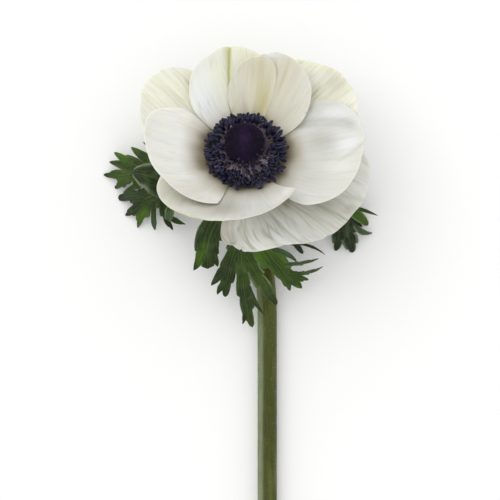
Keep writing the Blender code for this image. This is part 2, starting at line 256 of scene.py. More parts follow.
class Finish:
    """Builds one material: a Principled shader fed by short chains of nodes."""

    def __init__(self, name, sockets):
        self.made = bpy.data.materials.new(name)
        self.made.use_nodes = True
        self.tree = self.made.node_tree
        self.shader = self.tree.nodes["Principled BSDF"]
        for socket, value in sockets.items():
            self.set(socket, value)

    def set(self, socket, value, node=None):
        """Link an input of the shader, or of another node, to a socket, or give it a value."""
        socket = (node or self.shader).inputs[socket]
        if isinstance(value, bpy.types.NodeSocket):
            self.tree.links.new(value, socket)
        else:
            socket.default_value = (*value, 1) if socket.type == "RGBA" else value

    def node(self, kind, inputs=None, output=0, **settings):
        """Add a node with these inputs, by name or number, and return one of its outputs."""
        made = self.tree.nodes.new(kind)
        for key, value in settings.items():
            setattr(made, key, value)
        for key, value in (inputs or {}).items():
            self.set(key, value, made)
        return made.outputs[output]

    def math(self, operation, first, second=0.0, clamp=False):
        inputs = {0: first, 1: second}
        return self.node("ShaderNodeMath", inputs, operation=operation, use_clamp=clamp)

    def ramp(self, value, low, high, start=0.0, end=1.0):
        """Smooth change from start to end while a value goes from low to high."""
        inputs = dict(enumerate((value, low, high, start, end)))
        return self.node("ShaderNodeMapRange", inputs, interpolation_type="SMOOTHSTEP")

    def mix(self, share, first, second, kind="MIX"):
        inputs = {0: share, 6: first, 7: second}
        return self.node("ShaderNodeMix", inputs, 2, data_type="RGBA", blend_type=kind)

    def tint(self):
        return self.node("ShaderNodeVertexColor", layer_name="tint")

    def uv(self):
        return self.node("ShaderNodeUVMap", uv_map="UVMap")

    def place(self):
        return self.node("ShaderNodeTexCoord", output="Object")

    def noise(self, vector, scale=1.0, detail=3.0, stretch=None, distortion=0.0):
        """Noise with features of one scale, or with a stretch along each axis."""
        if stretch:
            vector = self.node("ShaderNodeMapping", {0: vector, 3: stretch})
        inputs = {"Vector": vector, "Scale": scale, "Detail": detail, "Roughness": 0.55}
        return self.node("ShaderNodeTexNoise", inputs | {"Distortion": distortion})

    def bump(self, *layers):
        """Stack of bumps, each a height, a strength and a distance in millimetres."""
        below = {}
        for height, strength, distance in layers:
            inputs = {"Height": height, "Strength": strength, "Distance": distance * MM}
            below = {"Normal": self.node("ShaderNodeBump", inputs | below)}
        self.set("Normal", below["Normal"])


VEIN_RATE = 17.0  # turns the offset from a lobe's midrib, in half widths, into a vein's phase


def tepal_finish(name, vein_colour, vein_share, vein_depth):
    """Soft white skin with fine veins that fan out from the claw."""
    made = Finish(name, {
        "Subsurface Weight": 0.35,
        "Subsurface Radius": (1.0, 0.85, 0.55),
        "Subsurface Scale": 0.6 * MM,
        "Specular IOR Level": 0.3,
    })
    uv, tint = made.uv(), made.tint()
    broad = made.noise(uv, stretch=(32, 1.5, 1), distortion=0.4)
    fine = made.noise(uv, stretch=(85, 2.2, 1), detail=2)
    grain = made.noise(made.place(), scale=1500, detail=2)
    veins = made.math("MULTIPLY", made.ramp(broad, 0.42, 0.66), 0.6)
    lines = made.math("MULTIPLY", made.ramp(fine, 0.5, 0.68), 0.55)
    share = made.math("MULTIPLY", made.math("ADD", veins, lines, clamp=True), vein_share)
    made.set("Base Color", made.mix(share, tint, made.mix(1.0, tint, vein_colour, "MULTIPLY")))
    made.set("Roughness", made.ramp(grain, 0.3, 0.7, 0.46, 0.62))
    made.bump((broad, vein_depth, 0.5), (fine, vein_depth, 0.22), (grain, 0.12, 0.1))
    return made.made


def leaf_finish(name, bloom_and_sheen_colour, bloom_and_sheen_share, vein_colour, vein_share):
    """Green blade with a midrib, lengthwise veins, a pale margin and a grey bloom that is partly
    painted sheen.
    """
    made = Finish(name, {
        "Subsurface Weight": 0.04, "Subsurface Scale": 0.4 * MM, "Specular IOR Level": 0.22,
    })
    uv, place, colour = made.uv(), made.place(), made.tint()
    across = made.math("ABSOLUTE", made.node("ShaderNodeSeparateXYZ", {0: uv}))
    wander = made.math("MULTIPLY", made.math("SUBTRACT", made.noise(place, 160), 0.5), 0.2)
    wave = made.math("COSINE", made.math("MULTIPLY", made.math("ADD", across, wander), VEIN_RATE))
    midrib = made.ramp(across, 0.02, 0.09, 1, 0)
    ribs = made.ramp(wave, 0.6, 1.0)
    margin = made.ramp(across, 0.86, 0.99)
    strands = made.noise(uv, stretch=(9, 1.6, 1))
    patches = made.noise(place, 70, detail=4)
    blotch = made.noise(place, 210)
    grain = made.noise(place, 2200, detail=2)
    fresher = made.mix(1.0, colour, (1.6, 1.55, 0.9), "MULTIPLY")
    darker = made.mix(1.0, colour, (0.38, 0.43, 0.42), "MULTIPLY")
    ribs_share = made.math("MULTIPLY", ribs, made.ramp(patches, 0.4, 0.6, 0.1, 0.8))
    ridges = made.math("MAXIMUM", midrib, ribs_share)
    # The grey blotches are bloom and painted sheen
    for share, layer in (
        (made.ramp(patches, 0.52, 0.68, 0, 0.7), fresher),
        (made.ramp(strands, 0.42, 0.60, 0, 0.8), darker),
        (made.ramp(blotch, 0.48, 0.72, 0, bloom_and_sheen_share), bloom_and_sheen_colour),
        (made.math("MULTIPLY", ridges, vein_share), vein_colour),
        (made.math("MULTIPLY", margin, 0.5), bloom_and_sheen_colour),
    ):
        colour = made.mix(share, colour, layer)
    made.set("Base Color", colour)
    made.set("Roughness", made.ramp(blotch, 0.3, 0.7, 0.32, 0.54))
    sunk = made.math("MULTIPLY", midrib, -1.0)
    raised = made.math("ADD", sunk, made.math("MULTIPLY", ribs, -0.6))
    made.bump((raised, 0.6, 0.3), (strands, 0.8, 0.4), (blotch, 0.4, 0.4), (grain, 0.2, 0.08))
    return made.made


def tinted_finish(name, scale, contrast, bump, roughness, **sockets):
    """Plain skin in the piece's own tints, mottled and roughened by noise."""
    names = {"specular": "Specular IOR Level", "sheen": "Sheen Weight"}
    made = Finish(name, {names[key]: value for key, value in sockets.items()})
    place, tint = made.place(), made.tint()
    mottle = made.noise(place, scale, detail=4)
    grain = made.noise(place, scale * 6, detail=2)
    dark = made.mix(1.0, tint, [contrast] * 3, "MULTIPLY")
    made.set("Base Color", made.mix(made.ramp(mottle, 0.35, 0.7), tint, dark))
    made.set("Roughness", made.ramp(mottle, 0.3, 0.7, roughness - 0.08, roughness + 0.1))
    made.bump((mottle, bump, 0.25), (grain, bump, 0.08))
    return made.made


def stem_finish():
    """Olive skin with fine lengthwise fibres, from UVs that run round and along the stem."""
    made = Finish("stem_skin", {"Specular IOR Level": 0.2})
    uv, tint = made.uv(), made.tint()
    fibres = made.noise(uv, stretch=(34, 2.5, 1))
    cells = made.noise(uv, stretch=(90, 30, 1), detail=2)
    mottle = made.noise(made.place(), 130)
    dark = made.mix(1.0, tint, (0.66, 0.68, 0.6), "MULTIPLY")
    colour = made.mix(made.ramp(fibres, 0.42, 0.68, 0, 0.7), tint, dark)
    olive = srgb(96, 100, 50)
    made.set("Base Color", made.mix(made.ramp(mottle, 0.5, 0.75, 0, 0.25), colour, olive))
    made.set("Roughness", made.ramp(mottle, 0.3, 0.7, 0.42, 0.58))
    made.bump((fibres, 0.35, 0.3), (cells, 0.2, 0.1))
    return made.made


# ---- Tepals

WHITE = srgb(242, 242, 236)
# Cool white: a tint that varies at random, and painted highlights on the tepals
COOL_TINT_AND_HIGHLIGHT = srgb(238, 240, 242)
# Painted shade: the white of a tepal that lies in shade
SHADED_WHITE = srgb(219, 220, 213)
# Painted light: creams and pale yellow of light that shines through the thin tepals from behind
BACKLIT_CREAM = srgb(228, 225, 205)
BACKLIT_PALE_CREAM = srgb(222, 220, 206)
BACKLIT_YELLOW = srgb(244, 245, 230)
# Painted shade, and light seen through, where one thin tepal lies over another
OLIVE_OVERLAP_SHADE_AND_LIGHT = srgb(196, 187, 114)
# Yellow-green of a rim's turned underside, and painted shade beside an overlapping tepal
YELLOW_GREEN_AND_SHADE = srgb(196, 198, 124)
TAN = srgb(208, 200, 168)
# Painted shade: beige and stone, in hollows and under other tepals
BEIGE_SHADE = srgb(206, 199, 184)
STONE_SHADE = srgb(186, 184, 172)
SHADE = srgb(160, 150, 124)
DEEP_SHADE = srgb(98, 86, 62)
# Painted shade: the grey of a white tepal in shade
SHADED_GREY = srgb(207, 208, 202)
# Painted shade in the furrows, wrinkles and creases
FURROW_SHADE = srgb(136, 134, 118)
TEPAL_THICKNESS = 0.4 * MM
NET = (131, 91)  # corners across a tepal, and along it
WIDE_NET = (221, 101)
WIDE = 55  # millimetres across
RIM_WAVES = 3.0
RIM_WOBBLE = 0.010  # uneven outline of the rim, as a share of the length
NARROW_DENT = 0.1  # a dent of a smaller half width is a notch, cut straight into the rim
RING_EDGE = 13.0  # how far the stamens reach from the flower's axis, in millimetres


@dataclass
class Tepal:
    """One tepal as in the CAD model, with its fine details. Angles are in degrees.

    u runs across it from -1 to 1, and t runs along it from 0 at the claw to 1 at the rim. Pairs
    give the side at +u first, then the side at -u.
    """

    name: str
    azimuth: float
    layer: int
    length: float
    width: float
    rise: tuple
    cup: float
    shoulder: tuple = (0.5, 0.5)
    flare: float = 0.9
    squareness: tuple = (2.2, 2.2)
    lean: float = 0.0
    twist: float = 0.0
    ruffle: float = 0.0
    spread: tuple = (1.0, 1.0)  # factors on the half width
    corner: tuple = (0.0, 0.0)  # 1 where the side meets the rim in a sharp corner
    ribs: float = 0.06  # height of the lengthwise ribs at the rim, in millimetres
    rib_count: float = 6.0
    rib_shade: float = 0.06  # how dark the furrows between the ribs are
    swell: float = 0.8  # height of broad, soft hollows, in millimetres
    curl: float = 0.15  # how far the rim turns up, in millimetres
    creases: tuple = ()  # u at the claw, u at the rim, half width in u, depth, from t, to t
    dents: tuple = ()  # of the rim: u, half width in u, depth as a share of the length
    # base tint; the dimmer and greyer skins are painted shade, the yellows and creams painted light
    # shining through from behind
    skin: tuple = WHITE
    veins: str = "soft"
    shade: float = 0.5  # how dark it is round the stamens
    wrinkles: float = 0.03  # depth of the fine, broken wrinkles, in millimetres
    wrinkle_shade: float = 0.1
    # colour of the painted shade in the creases
    crease_shade_colour: tuple = FURROW_SHADE
    crease_shade: float = 0.3
    # patches are tints, painted shade and painted highlights
    patches: tuple = ()  # colour, u, t, spread in u, spread in t, share

    def noise(self, seed, across, along=0.0):
        """Smooth noise over the tepal, another field for each seed."""
        return noise_field(across, along, self.azimuth + seed)


TEPALS = (
    Tepal(
        "tepal_outer_low", 315, 0, 36, 60, (2, -12), 5, (0.4, 0.4), 0.6, (2.6, 1.45),
        lean=0.1, ruffle=0.7, ribs=0.35, rib_count=11, rib_shade=0.35, swell=1.1, skin=SHADED_GREY,
        veins="marked", wrinkles=0.3, wrinkle_shade=0.4,
        dents=(
            (-0.98, 0.05, 0.06), (-0.962, 0.01, 0.09), (-0.905, 0.012, 0.035), (-0.6, 0.25, 0.06),
            (-0.55, 0.03, 0.012), (-0.12, 0.03, 0.012), (0.85, 0.3, 0.03),
        ),
        # Painted shade under the other tepals, and painted light on the whiter parts
        patches=(
            (SHADE, 0.0, 0.42, 0.35, 0.12, 0.75), (STONE_SHADE, 0.15, 0.72, 0.2, 0.16, 0.8),
            (STONE_SHADE, -1.0, 0.6, 0.12, 0.3, 0.8),
            (WHITE, -0.8, 0.85, 0.2, 0.3, 0.6), (WHITE, 0.75, 0.8, 0.35, 0.4, 0.6),
            (WHITE, -0.82, 0.5, 0.16, 0.12, 0.9),
        ),
    ),
    Tepal(
        "tepal_outer_left", 147, 1, 38, 32, (2, 38), 12,
        skin=BACKLIT_YELLOW, veins="marked", rib_shade=0.1, wrinkles=0.05, wrinkle_shade=0.2,
        creases=((-0.5, -0.75, 0.03, 0.3, 0.3, 0.9), (0.0, -0.2, 0.04, 0.25, 0.4, 0.95)),
        dents=((0.55, 0.3, 0.03), (-0.3, 0.03, 0.012)),
        patches=((TAN, -0.95, 0.5, 0.35, 0.4, 0.6), (WHITE, 0.6, 0.8, 0.5, 0.4, 0.7)),
    ),
    Tepal(
        "tepal_outer_right", 35, 1, 39, 40, (2, 34), 12,
        skin=BACKLIT_YELLOW, veins="marked", ribs=0.15, rib_count=10, rib_shade=0.1,
        wrinkles=0.12, wrinkle_shade=0.15,
        creases=((0.1, 0.25, 0.03, 0.6, 0.35, 0.85),),
        dents=((0.06, 0.02, 0.02), (0.6, 0.3, 0.04)),
        patches=(
            (WHITE, -0.4, 0.8, 0.4, 0.4, 0.5), (YELLOW_GREEN_AND_SHADE, 0.15, 0.98, 0.5, 0.08, 0.2),
            (BACKLIT_PALE_CREAM, 0.15, 0.75, 0.25, 0.25, 0.6), (STONE_SHADE, 0.04, 0.9, 0.2, 0.12, 0.4),
            (COOL_TINT_AND_HIGHLIGHT, 0.4, 0.8, 0.16, 0.14, 0.6),
        ),
    ),
    Tepal(
        "tepal_right", 355, 2, 38, 41, (4, 36), 14,
        skin=SHADED_WHITE, swell=1.6, ribs=0.08, shade=0.9, crease_shade=0.22,
        creases=(
            (1.15, 0.42, 0.10, 0.8, 0.25, 0.98), (-0.9, 0.1, 0.05, 0.4, 0.65, 1.1),
            (0.32, 0.30, 0.16, 0.3, 0.35, 0.75),
        ),
        dents=((0.42, 0.05, 0.012), (0.09, 0.025, 0.02), (-0.2, 0.06, 0.01)),
        # Painted highlights on the folds, and painted shade in the valleys and by the stamens
        patches=(
            (COOL_TINT_AND_HIGHLIGHT, 0.74, 0.78, 0.12, 0.2, 0.9), (SHADE, 0.12, 0.30, 0.25, 0.07, 0.8),
            (COOL_TINT_AND_HIGHLIGHT, 0.14, 0.80, 0.2, 0.16, 1.0), (STONE_SHADE, 0.34, 0.52, 0.2, 0.14, 0.5),
            (SHADED_GREY, 0.0, 0.52, 0.5, 0.2, 0.7), (WHITE, -0.3, 0.78, 0.2, 0.2, 0.5),
            (STONE_SHADE, -0.85, 0.3, 0.3, 0.2, 0.6), (SHADED_GREY, -0.55, 0.5, 0.3, 0.2, 0.7),
        ),
    ),
    Tepal(
        "tepal_top_left", 101, 2, 34, 31, (4, 50), 14,
        skin=BACKLIT_YELLOW, shade=0.3, crease_shade_colour=srgb(190, 192, 106), crease_shade=0.8,
        wrinkles=0.05, wrinkle_shade=0.2,
        creases=((0.28, -0.10, 0.04, 0.5, 0.15, 1.2),),
        dents=((-0.1, 0.03, 0.02), (0.5, 0.2, 0.02)),
        patches=(
            (COOL_TINT_AND_HIGHLIGHT, 0.8, 0.5, 0.4, 0.6, 0.9), (YELLOW_GREEN_AND_SHADE, 0.0, 0.98, 0.08, 0.3, 0.5),
            (YELLOW_GREEN_AND_SHADE, -0.25, 0.32, 0.2, 0.16, 0.8),
        ),
    ),
    Tepal(
        "tepal_low_left", 252, 3, 39, 52, (6, 60), 28, (0.25, 0.40), 0.7, (1.7, 2.3), twist=10,
        spread=(0.93, 0.94), corner=(0.8, 0), skin=SHADED_WHITE, ribs=0.1, rib_count=8, shade=0.7,
        wrinkles=0.05, dents=((-0.85, 0.2, 0.05), (-0.32, 0.16, -0.04), (0.75, 0.3, 0.035)),
        # Painted shade below the stamens, a painted highlight on the tip, and the yellow-green
        # underside at the rim
        patches=(
            (TAN, -0.7, 0.75, 0.35, 0.25, 0.2), (STONE_SHADE, 0.05, 0.55, 0.4, 0.2, 1.0),
            (WHITE, 0.1, 0.95, 0.4, 0.12, 0.5), (WHITE, 1.0, 0.8, 0.15, 0.15, 0.8),
            (YELLOW_GREEN_AND_SHADE, -0.25, 1.0, 0.45, 0.03, 0.8),
        ),
    ),
    Tepal(
        "tepal_top_right", 64, 3, 33, 27, (6, 56), 14,
        skin=BACKLIT_PALE_CREAM, swell=0.5, shade=0.3, crease_shade=0.0,
        creases=((-1.0, -1.0, 0.25, 1.3, 0.15, 1.2),),
        dents=((0.5, 0.05, 0.01),),
        patches=(
            (TAN, 0.0, 0.5, 0.3, 0.4, 0.35), (OLIVE_OVERLAP_SHADE_AND_LIGHT, 0.3, 0.68, 0.16, 0.16, 0.3),
            (OLIVE_OVERLAP_SHADE_AND_LIGHT, 0.7, 0.4, 0.3, 0.28, 0.45), (TAN, -0.1, 0.75, 0.05, 0.25, 0.6),
            (COOL_TINT_AND_HIGHLIGHT, 0.5, 0.93, 0.3, 0.16, 1.0),
        ),
    ),
    Tepal(
        "tepal_left", 200, 4, 36, 40, (9, 60), 22, (0.36, 0.42), 0.6, (1.8, 2.6),
        spread=(0.95, 1.06), corner=(0.7, 0), swell=0.9, shade=0.9, wrinkles=0.04,
        patches=((DEEP_SHADE, 0.0, 0.28, 0.4, 0.09, 0.95), (BEIGE_SHADE, 0.75, 0.6, 0.25, 0.5, 0.5)),
    ),
    Tepal(
        "tepal_top_front", 80, 4, 30, 18.5, (7, 62), 8, (0.5, 0.62), 1.6, (2.2, 2.6),
        spread=(1.0, 0.74), corner=(0, 0.6), twist=8, skin=BACKLIT_CREAM, swell=0.3, shade=0.25, curl=0.0,
        crease_shade=0.0,
        creases=((-1.0, -1.0, 0.3, 0.6, 0.3, 1.2), (1.0, 1.0, 0.3, 0.6, 0.3, 1.2)),
        patches=(
            (OLIVE_OVERLAP_SHADE_AND_LIGHT, -0.55, 0.45, 0.42, 0.3, 0.65), (OLIVE_OVERLAP_SHADE_AND_LIGHT, -0.2, 0.62, 0.2, 0.35, 0.35),
            (BACKLIT_PALE_CREAM, 0.7, 0.6, 0.35, 0.5, 0.7), (TAN, -0.1, 0.85, 0.4, 0.15, 0.4),
        ),
    ),
)


def tepal_points(tepal, u, t):
    """Points of a tepal's middle surface, in the flower's frame, for rows of u and t."""

    def by_side(pair):
        return np.where(u > 0, *pair)

    length, half = tepal.length * MM, tepal.width / 2 * MM
    power, shoulder = by_side(tepal.squareness), by_side(tepal.shoulder)
    crown = (1 - np.minimum(1.0, abs(u)) ** power) ** (1 / power)
    outline = RIM_WOBBLE * tepal.noise(0, u * 5) * t**8
    notch = np.zeros(u.shape)
    for place, spread, depth in tepal.dents:
        narrow = spread < NARROW_DENT
        dent = depth * bell(u, place, spread) * t ** (10 if narrow else 3)
        outline = outline - dent
        notch = notch + dent * narrow
    along = t * length * (shoulder + (1 - shoulder) * crown) * (1 + outline)
    corner = by_side(tepal.corner)
    widened = (1 - corner) * np.sin(math.pi / 2 * t) ** tepal.flare + corner * t**0.85
    across = u * (TEPAL_CLAW + (half * by_side(tepal.spread) - TEPAL_CLAW) * widened)
    across = across * (1 - notch) + tepal.lean * length * (along / length) ** 2

    low, high = (math.radians(angle) for angle in tepal.rise)
    bend = (high - low) / length
    slope = low + bend * along
    out = (np.sin(slope) - math.sin(low)) / bend
    up = (math.cos(low) - np.cos(slope)) / bend

    curve = math.radians(tepal.cup) / half
    side = np.sin(curve * across) / curve
    lift = (1 - np.cos(curve * across)) / curve
    lift = lift + tepal.ruffle * MM * t**3 * np.sin(math.pi * RIM_WAVES * u)
    roll = math.radians(tepal.twist) * t
    side, lift = (
        side * np.cos(roll) - lift * np.sin(roll), side * np.sin(roll) + lift * np.cos(roll)
    )
    radial = RECEPTACLE_RADIUS + GAP + TEPAL_HALF_THICKNESS + out - lift * np.sin(slope)
    height = OUTER_CLAW + tepal.layer * LAYER_STEP + up + lift * np.cos(slope)
    turn = math.radians(tepal.azimuth)
    x = radial * math.cos(turn) - side * math.sin(turn)
    y = radial * math.sin(turn) + side * math.cos(turn)
    return np.stack([x, y, height], -1)


def tepal_furrows(tepal, u, t):
    """Ribs along the tepal, between -1 in a furrow and 1 on a rib."""
    waver = 0.12 * tepal.noise(3, u * 2.5, t * 1.5)
    height = 0.65 + 0.5 * tepal.noise(0, u * 4, t * 1.5)
    return np.sin(math.pi * tepal.rib_count * (u + waver)) * np.clip(height, 0, 1)


def tepal_creases(tepal, u, t):
    """Depth of a tepal's own creases, in millimetres."""
    total = np.zeros(u.shape)
    for start, end, spread, depth, first, last in tepal.creases:
        window = smooth_step(t, first, first + 0.2) * (1 - smooth_step(t, last - 0.15, last))
        total = total + depth * window * bell(u, start + (end - start) * t, spread)
    return total


def tepal_wrinkles(tepal, u, t):
    """Fine broken wrinkles along the tepal, up to 1 where they are deepest."""
    bend = 0.05 * tepal.noise(17, u * 3, t * 3)
    line = bell(tepal.noise(20, (u + bend) * 13, t * 1.6), 0, 0.11)
    breaks = smooth_step(tepal.noise(26, u * 7, t * 3.5), -0.25, 0.3)
    return line * breaks * smooth_step(t, 0.25, 0.5) * (1 - 0.6 * smooth_step(t, 0.9, 1.0))


def tepal_relief(tepal, u, t):
    """Height of the fine folds over the middle surface, in metres."""
    relief = tepal.ribs * t**1.5 * tepal_furrows(tepal, u, t)
    relief = relief + tepal.swell * t * tepal.noise(7, u * 1.8, t * 2.2)
    edge = np.maximum(smooth_step(t, 0.86, 1.0), smooth_step(abs(u), 0.9, 1.0) * t)
    relief = relief + tepal.curl * edge**2 * (0.6 + 0.6 * tepal.noise(11, u * 2.2))
    relief = relief - tepal_creases(tepal, u, t) - tepal.wrinkles * tepal_wrinkles(tepal, u, t)
    return relief * MM


def tepal_colours(tepal, u, t, reach):
    """Tints of a tepal, with painted light and shade; reach is each place's distance from the
    flower's axis.
    """
    cloud = 0.5 + 0.5 * tepal.noise(21, u * 1.4, t * 1.6)
    furrows = smooth_step(-tepal_furrows(tepal, u, t), 0.35, 1.0) * smooth_step(t, 0.2, 0.6)
    creases = np.minimum(1, tepal_creases(tepal, u, t) / 0.5)
    reach = reach / MM + 2.0 * tepal.noise(5, u * 3, t * 3)
    layers = [(COOL_TINT_AND_HIGHLIGHT, 0.35 * smooth_step(cloud, 0.45, 0.8))]
    # Patches of tint, painted shade and painted highlight
    for colour, middle, height, spread, length, share in tepal.patches:
        layers.append((colour, share * bell(u, middle, spread) * bell(t, height, length)))
    # Painted shade in the furrows, wrinkles and creases, and round the stamens
    layers += [
        (FURROW_SHADE, tepal.rib_shade * furrows),
        (FURROW_SHADE, tepal.wrinkle_shade * tepal_wrinkles(tepal, u, t)),
        (tepal.crease_shade_colour, tepal.crease_shade * creases),
        (SHADE, tepal.shade * (1 - smooth_step(reach, RING_EDGE, 24.0))),
        (DEEP_SHADE, tepal.shade * (1 - smooth_step(reach, RING_EDGE, 18.5))),
    ]
    colours = np.broadcast_to(np.array(tepal.skin), u.shape + (3,))
    for colour, share in layers:
        colours = blend(colours, colour, share)
    return colours


def add_tepal(tepal, finishes):
    """Fine sheet over the CAD tepal's surface, thin at its rim."""
    columns, rows = WIDE_NET if tepal.width > WIDE else NET
    u, t = np.meshgrid(np.sin(np.linspace(-1, 1, columns) * math.pi / 2), np.linspace(0, 1, rows))
    points = tepal_points(tepal, u, t)
    normals = np.cross(np.gradient(points, axis=0), np.gradient(points, axis=1))
    normals /= np.linalg.norm(normals, axis=2)[..., None] + 1e-12
    normals *= np.sign(normals[rows // 2, columns // 2, 2])
    points = points + normals * tepal_relief(tepal, u, t)[..., None]
    colours = tepal_colours(tepal, u, t, np.hypot(points[..., 0], points[..., 1]))
    shape = Shape()
    faces = [face[::-1] for face in grid_faces(rows, columns)]
    shape.add(points, faces, colours, np.stack([u, t], -1))
    skins = [finishes[tepal.veins], finishes["outer"]]
    piece = shape.make(tepal.name + "_sheet", FLOWER, skins, [tepal.name])
    inside = np.minimum((1 - t) / 0.05, (1 - abs(u)) / 0.03)
    shell(piece, TEPAL_THICKNESS, np.clip(inside, 0, 1).ravel())


# ---- Stamens and pistils

NAVY = srgb(11, 10, 24)
NAVY_LIGHT = srgb(27, 25, 52)
# Painted highlight on the anthers' ridges
LILAC_HIGHLIGHT = srgb(118, 114, 168)
FILAMENT_DARK = srgb(78, 60, 82)
# Pale filament colour, also painted light
FILAMENT_PALE_AND_LIT = srgb(244, 230, 240)
# Painted highlight on the dome, also a random purple tone
PURPLE_TONE_AND_HIGHLIGHT = srgb(92, 54, 122)
BLACK_PURPLE = srgb(14, 10, 30)
PINKISH = srgb(118, 94, 100)
# Painted glints
PALE_GLINT = srgb(150, 150, 172)
DISC_SAG = np.array((0.25, -0.9, 0.0))  # how far the outer stamens hang off centre, in millimetres
SAG_START = 6.0  # radius from which they do, in millimetres
ANTHER_HOLD = (0.12, 0, 0)  # where the unit anther sits on its filament
UPWARD = np.array((0.0, 0.0, 1.0))
PISTIL_COUNT = 1900
GOLDEN_ANGLE = math.pi * (3 - math.sqrt(5))


@dataclass
class Ring:
    """One ring of stamens, in millimetres in the flower's frame, and degrees."""

    name: str
    nodes: str  # the CAD stamens it stands for
    count: int
    root: tuple  # radius and height at the filament's start
    elbow: tuple  # at its middle
    foot: tuple  # and where the anther sits
    tilt: float


RINGS = (
    Ring("stamens_outer", "stamen_outer", 66, (5.9, 3.4), (9.0, 5.4), (12.4, 5.5), 2),
    Ring("stamens_low_middle", "", 60, (5.8, 3.8), (8.7, 6.0), (11.6, 6.6), 12),
    Ring("stamens_middle", "stamen_middle", 52, (5.7, 4.2), (8.3, 6.6), (10.7, 7.5), 22),
    Ring("stamens_high_middle", "", 46, (5.5, 4.6), (8.0, 7.0), (9.8, 8.4), 34),
    Ring("stamens_inner", "stamen_inner", 38, (5.3, 4.9), (7.6, 7.4), (8.4, 9.6), 56),
)


def anther(sides=18, steps=11):
    """Unit anther along +X, of two long sacs with a deep groove between them on each face.

    Returns its corners, its faces, and how far each corner lies on a sac's ridge, where a lilac
    highlight is painted.
    """
    turn = turns(sides)
    share = np.linspace(0, 1, steps)[:, None]
    girth = np.maximum((1 - abs(2 * share - 1) ** 2.8) ** 0.5, 0.14)
    groove = 1 - 0.42 * bell(np.sin(turn), 0, 0.34) - 0.10 * bell(np.cos(turn), 0, 0.3)
    ridges = bell(abs(np.sin(turn)), 0.62, 0.2) * (1 - abs(2 * share - 1) ** 3)
    radius = girth * groove
    rows = np.stack([share + 0 * radius, radius * np.sin(turn), radius * np.cos(turn)], -1)
    return rows.reshape(-1, 3), closed_faces(steps, sides), ridges.ravel()


def bowed_line(start, middle, end, steps):
    """Points along a smooth curve through three points."""
    share = np.linspace(0, 1, steps)[:, None]
    control = 2 * middle - (start + end) / 2
    return (1 - share) ** 2 * start + 2 * share * (1 - share) * control + share**2 * end


def anther_axes(outward, tilt, yaw, roll):
    """Axes of an anther: along it, then two across it."""
    ahead = outward * math.cos(tilt) * math.cos(yaw) + np.cross(UPWARD, outward) * math.sin(yaw)
    ahead = unit(ahead + UPWARD * math.sin(tilt))
    across = unit(np.cross(UPWARD, ahead))
    first = across * math.cos(roll) + np.cross(ahead, across) * math.sin(roll)
    return np.array((ahead, first, np.cross(ahead, first)))


def add_ring(ring, order, finish, rng):
    """Curved filaments with a grooved anther on each."""
    body, body_faces, ridges = anther()
    sides, steps = 6, 9
    fade = np.repeat(np.linspace(0, 1, steps), sides)
    shape = Shape()
    for index in range(ring.count):
        turn = math.tau * (index + 0.5 * (order % 2) + rng.uniform(-0.28, 0.28)) / ring.count
        spread = rng.uniform(-0.7, 0.7) * MM
        rise = rng.uniform(-0.35, 0.55) * MM
        sway = rng.uniform(-0.9, 0.9) * MM
        outward = np.array((math.cos(turn), math.sin(turn), 0.0))
        sideways = np.cross(UPWARD, outward)

        def at(radius, height, offset=0.0):
            sag = DISC_SAG * max(0.0, radius - SAG_START) / SAG_START
            return (outward * radius + UPWARD * height + sag) * MM + sideways * offset

        foot = at(*ring.foot, sway * 1.3) + outward * spread + UPWARD * rise
        route = bowed_line(at(*ring.root), at(*ring.elbow, sway), foot, steps)
        tilt = math.radians(ring.tilt + rng.uniform(-20, 20))
        axes = anther_axes(outward, tilt, rng.uniform(-0.48, 0.48), rng.uniform(-0.9, 0.9))
        points, faces = tube(route, np.linspace(0.19, 0.15, steps) * MM, sides)
        # Paler at random, and painted light on the filaments on the lower side
        pale = min(1.0, rng.uniform(0.1, 0.8) + 0.6 * max(0.0, -math.sin(turn)))
        shade = blend(FILAMENT_DARK, FILAMENT_PALE_AND_LIT, pale)
        shape.add(points, faces, blend(shade, FILAMENT_DARK, fade**2 * 0.3))
        size = np.array((rng.uniform(2.5, 3.1), rng.uniform(0.62, 0.74), 0.56)) * MM
        placed = foot + (body - ANTHER_HOLD) * size @ axes
        skin = blend(NAVY, NAVY_LIGHT, rng.uniform(0, 1))
        # Painted lilac highlight along the ridges of the sacs
        shape.add(placed, body_faces, blend(skin, LILAC_HIGHLIGHT, ridges * rng.uniform(0.0, 0.65)))
    nodes = [name for name in frame["nodes"] if ring.nodes and name.startswith(ring.nodes)]
    shape.make(ring.name, FLOWER, [finish], nodes)


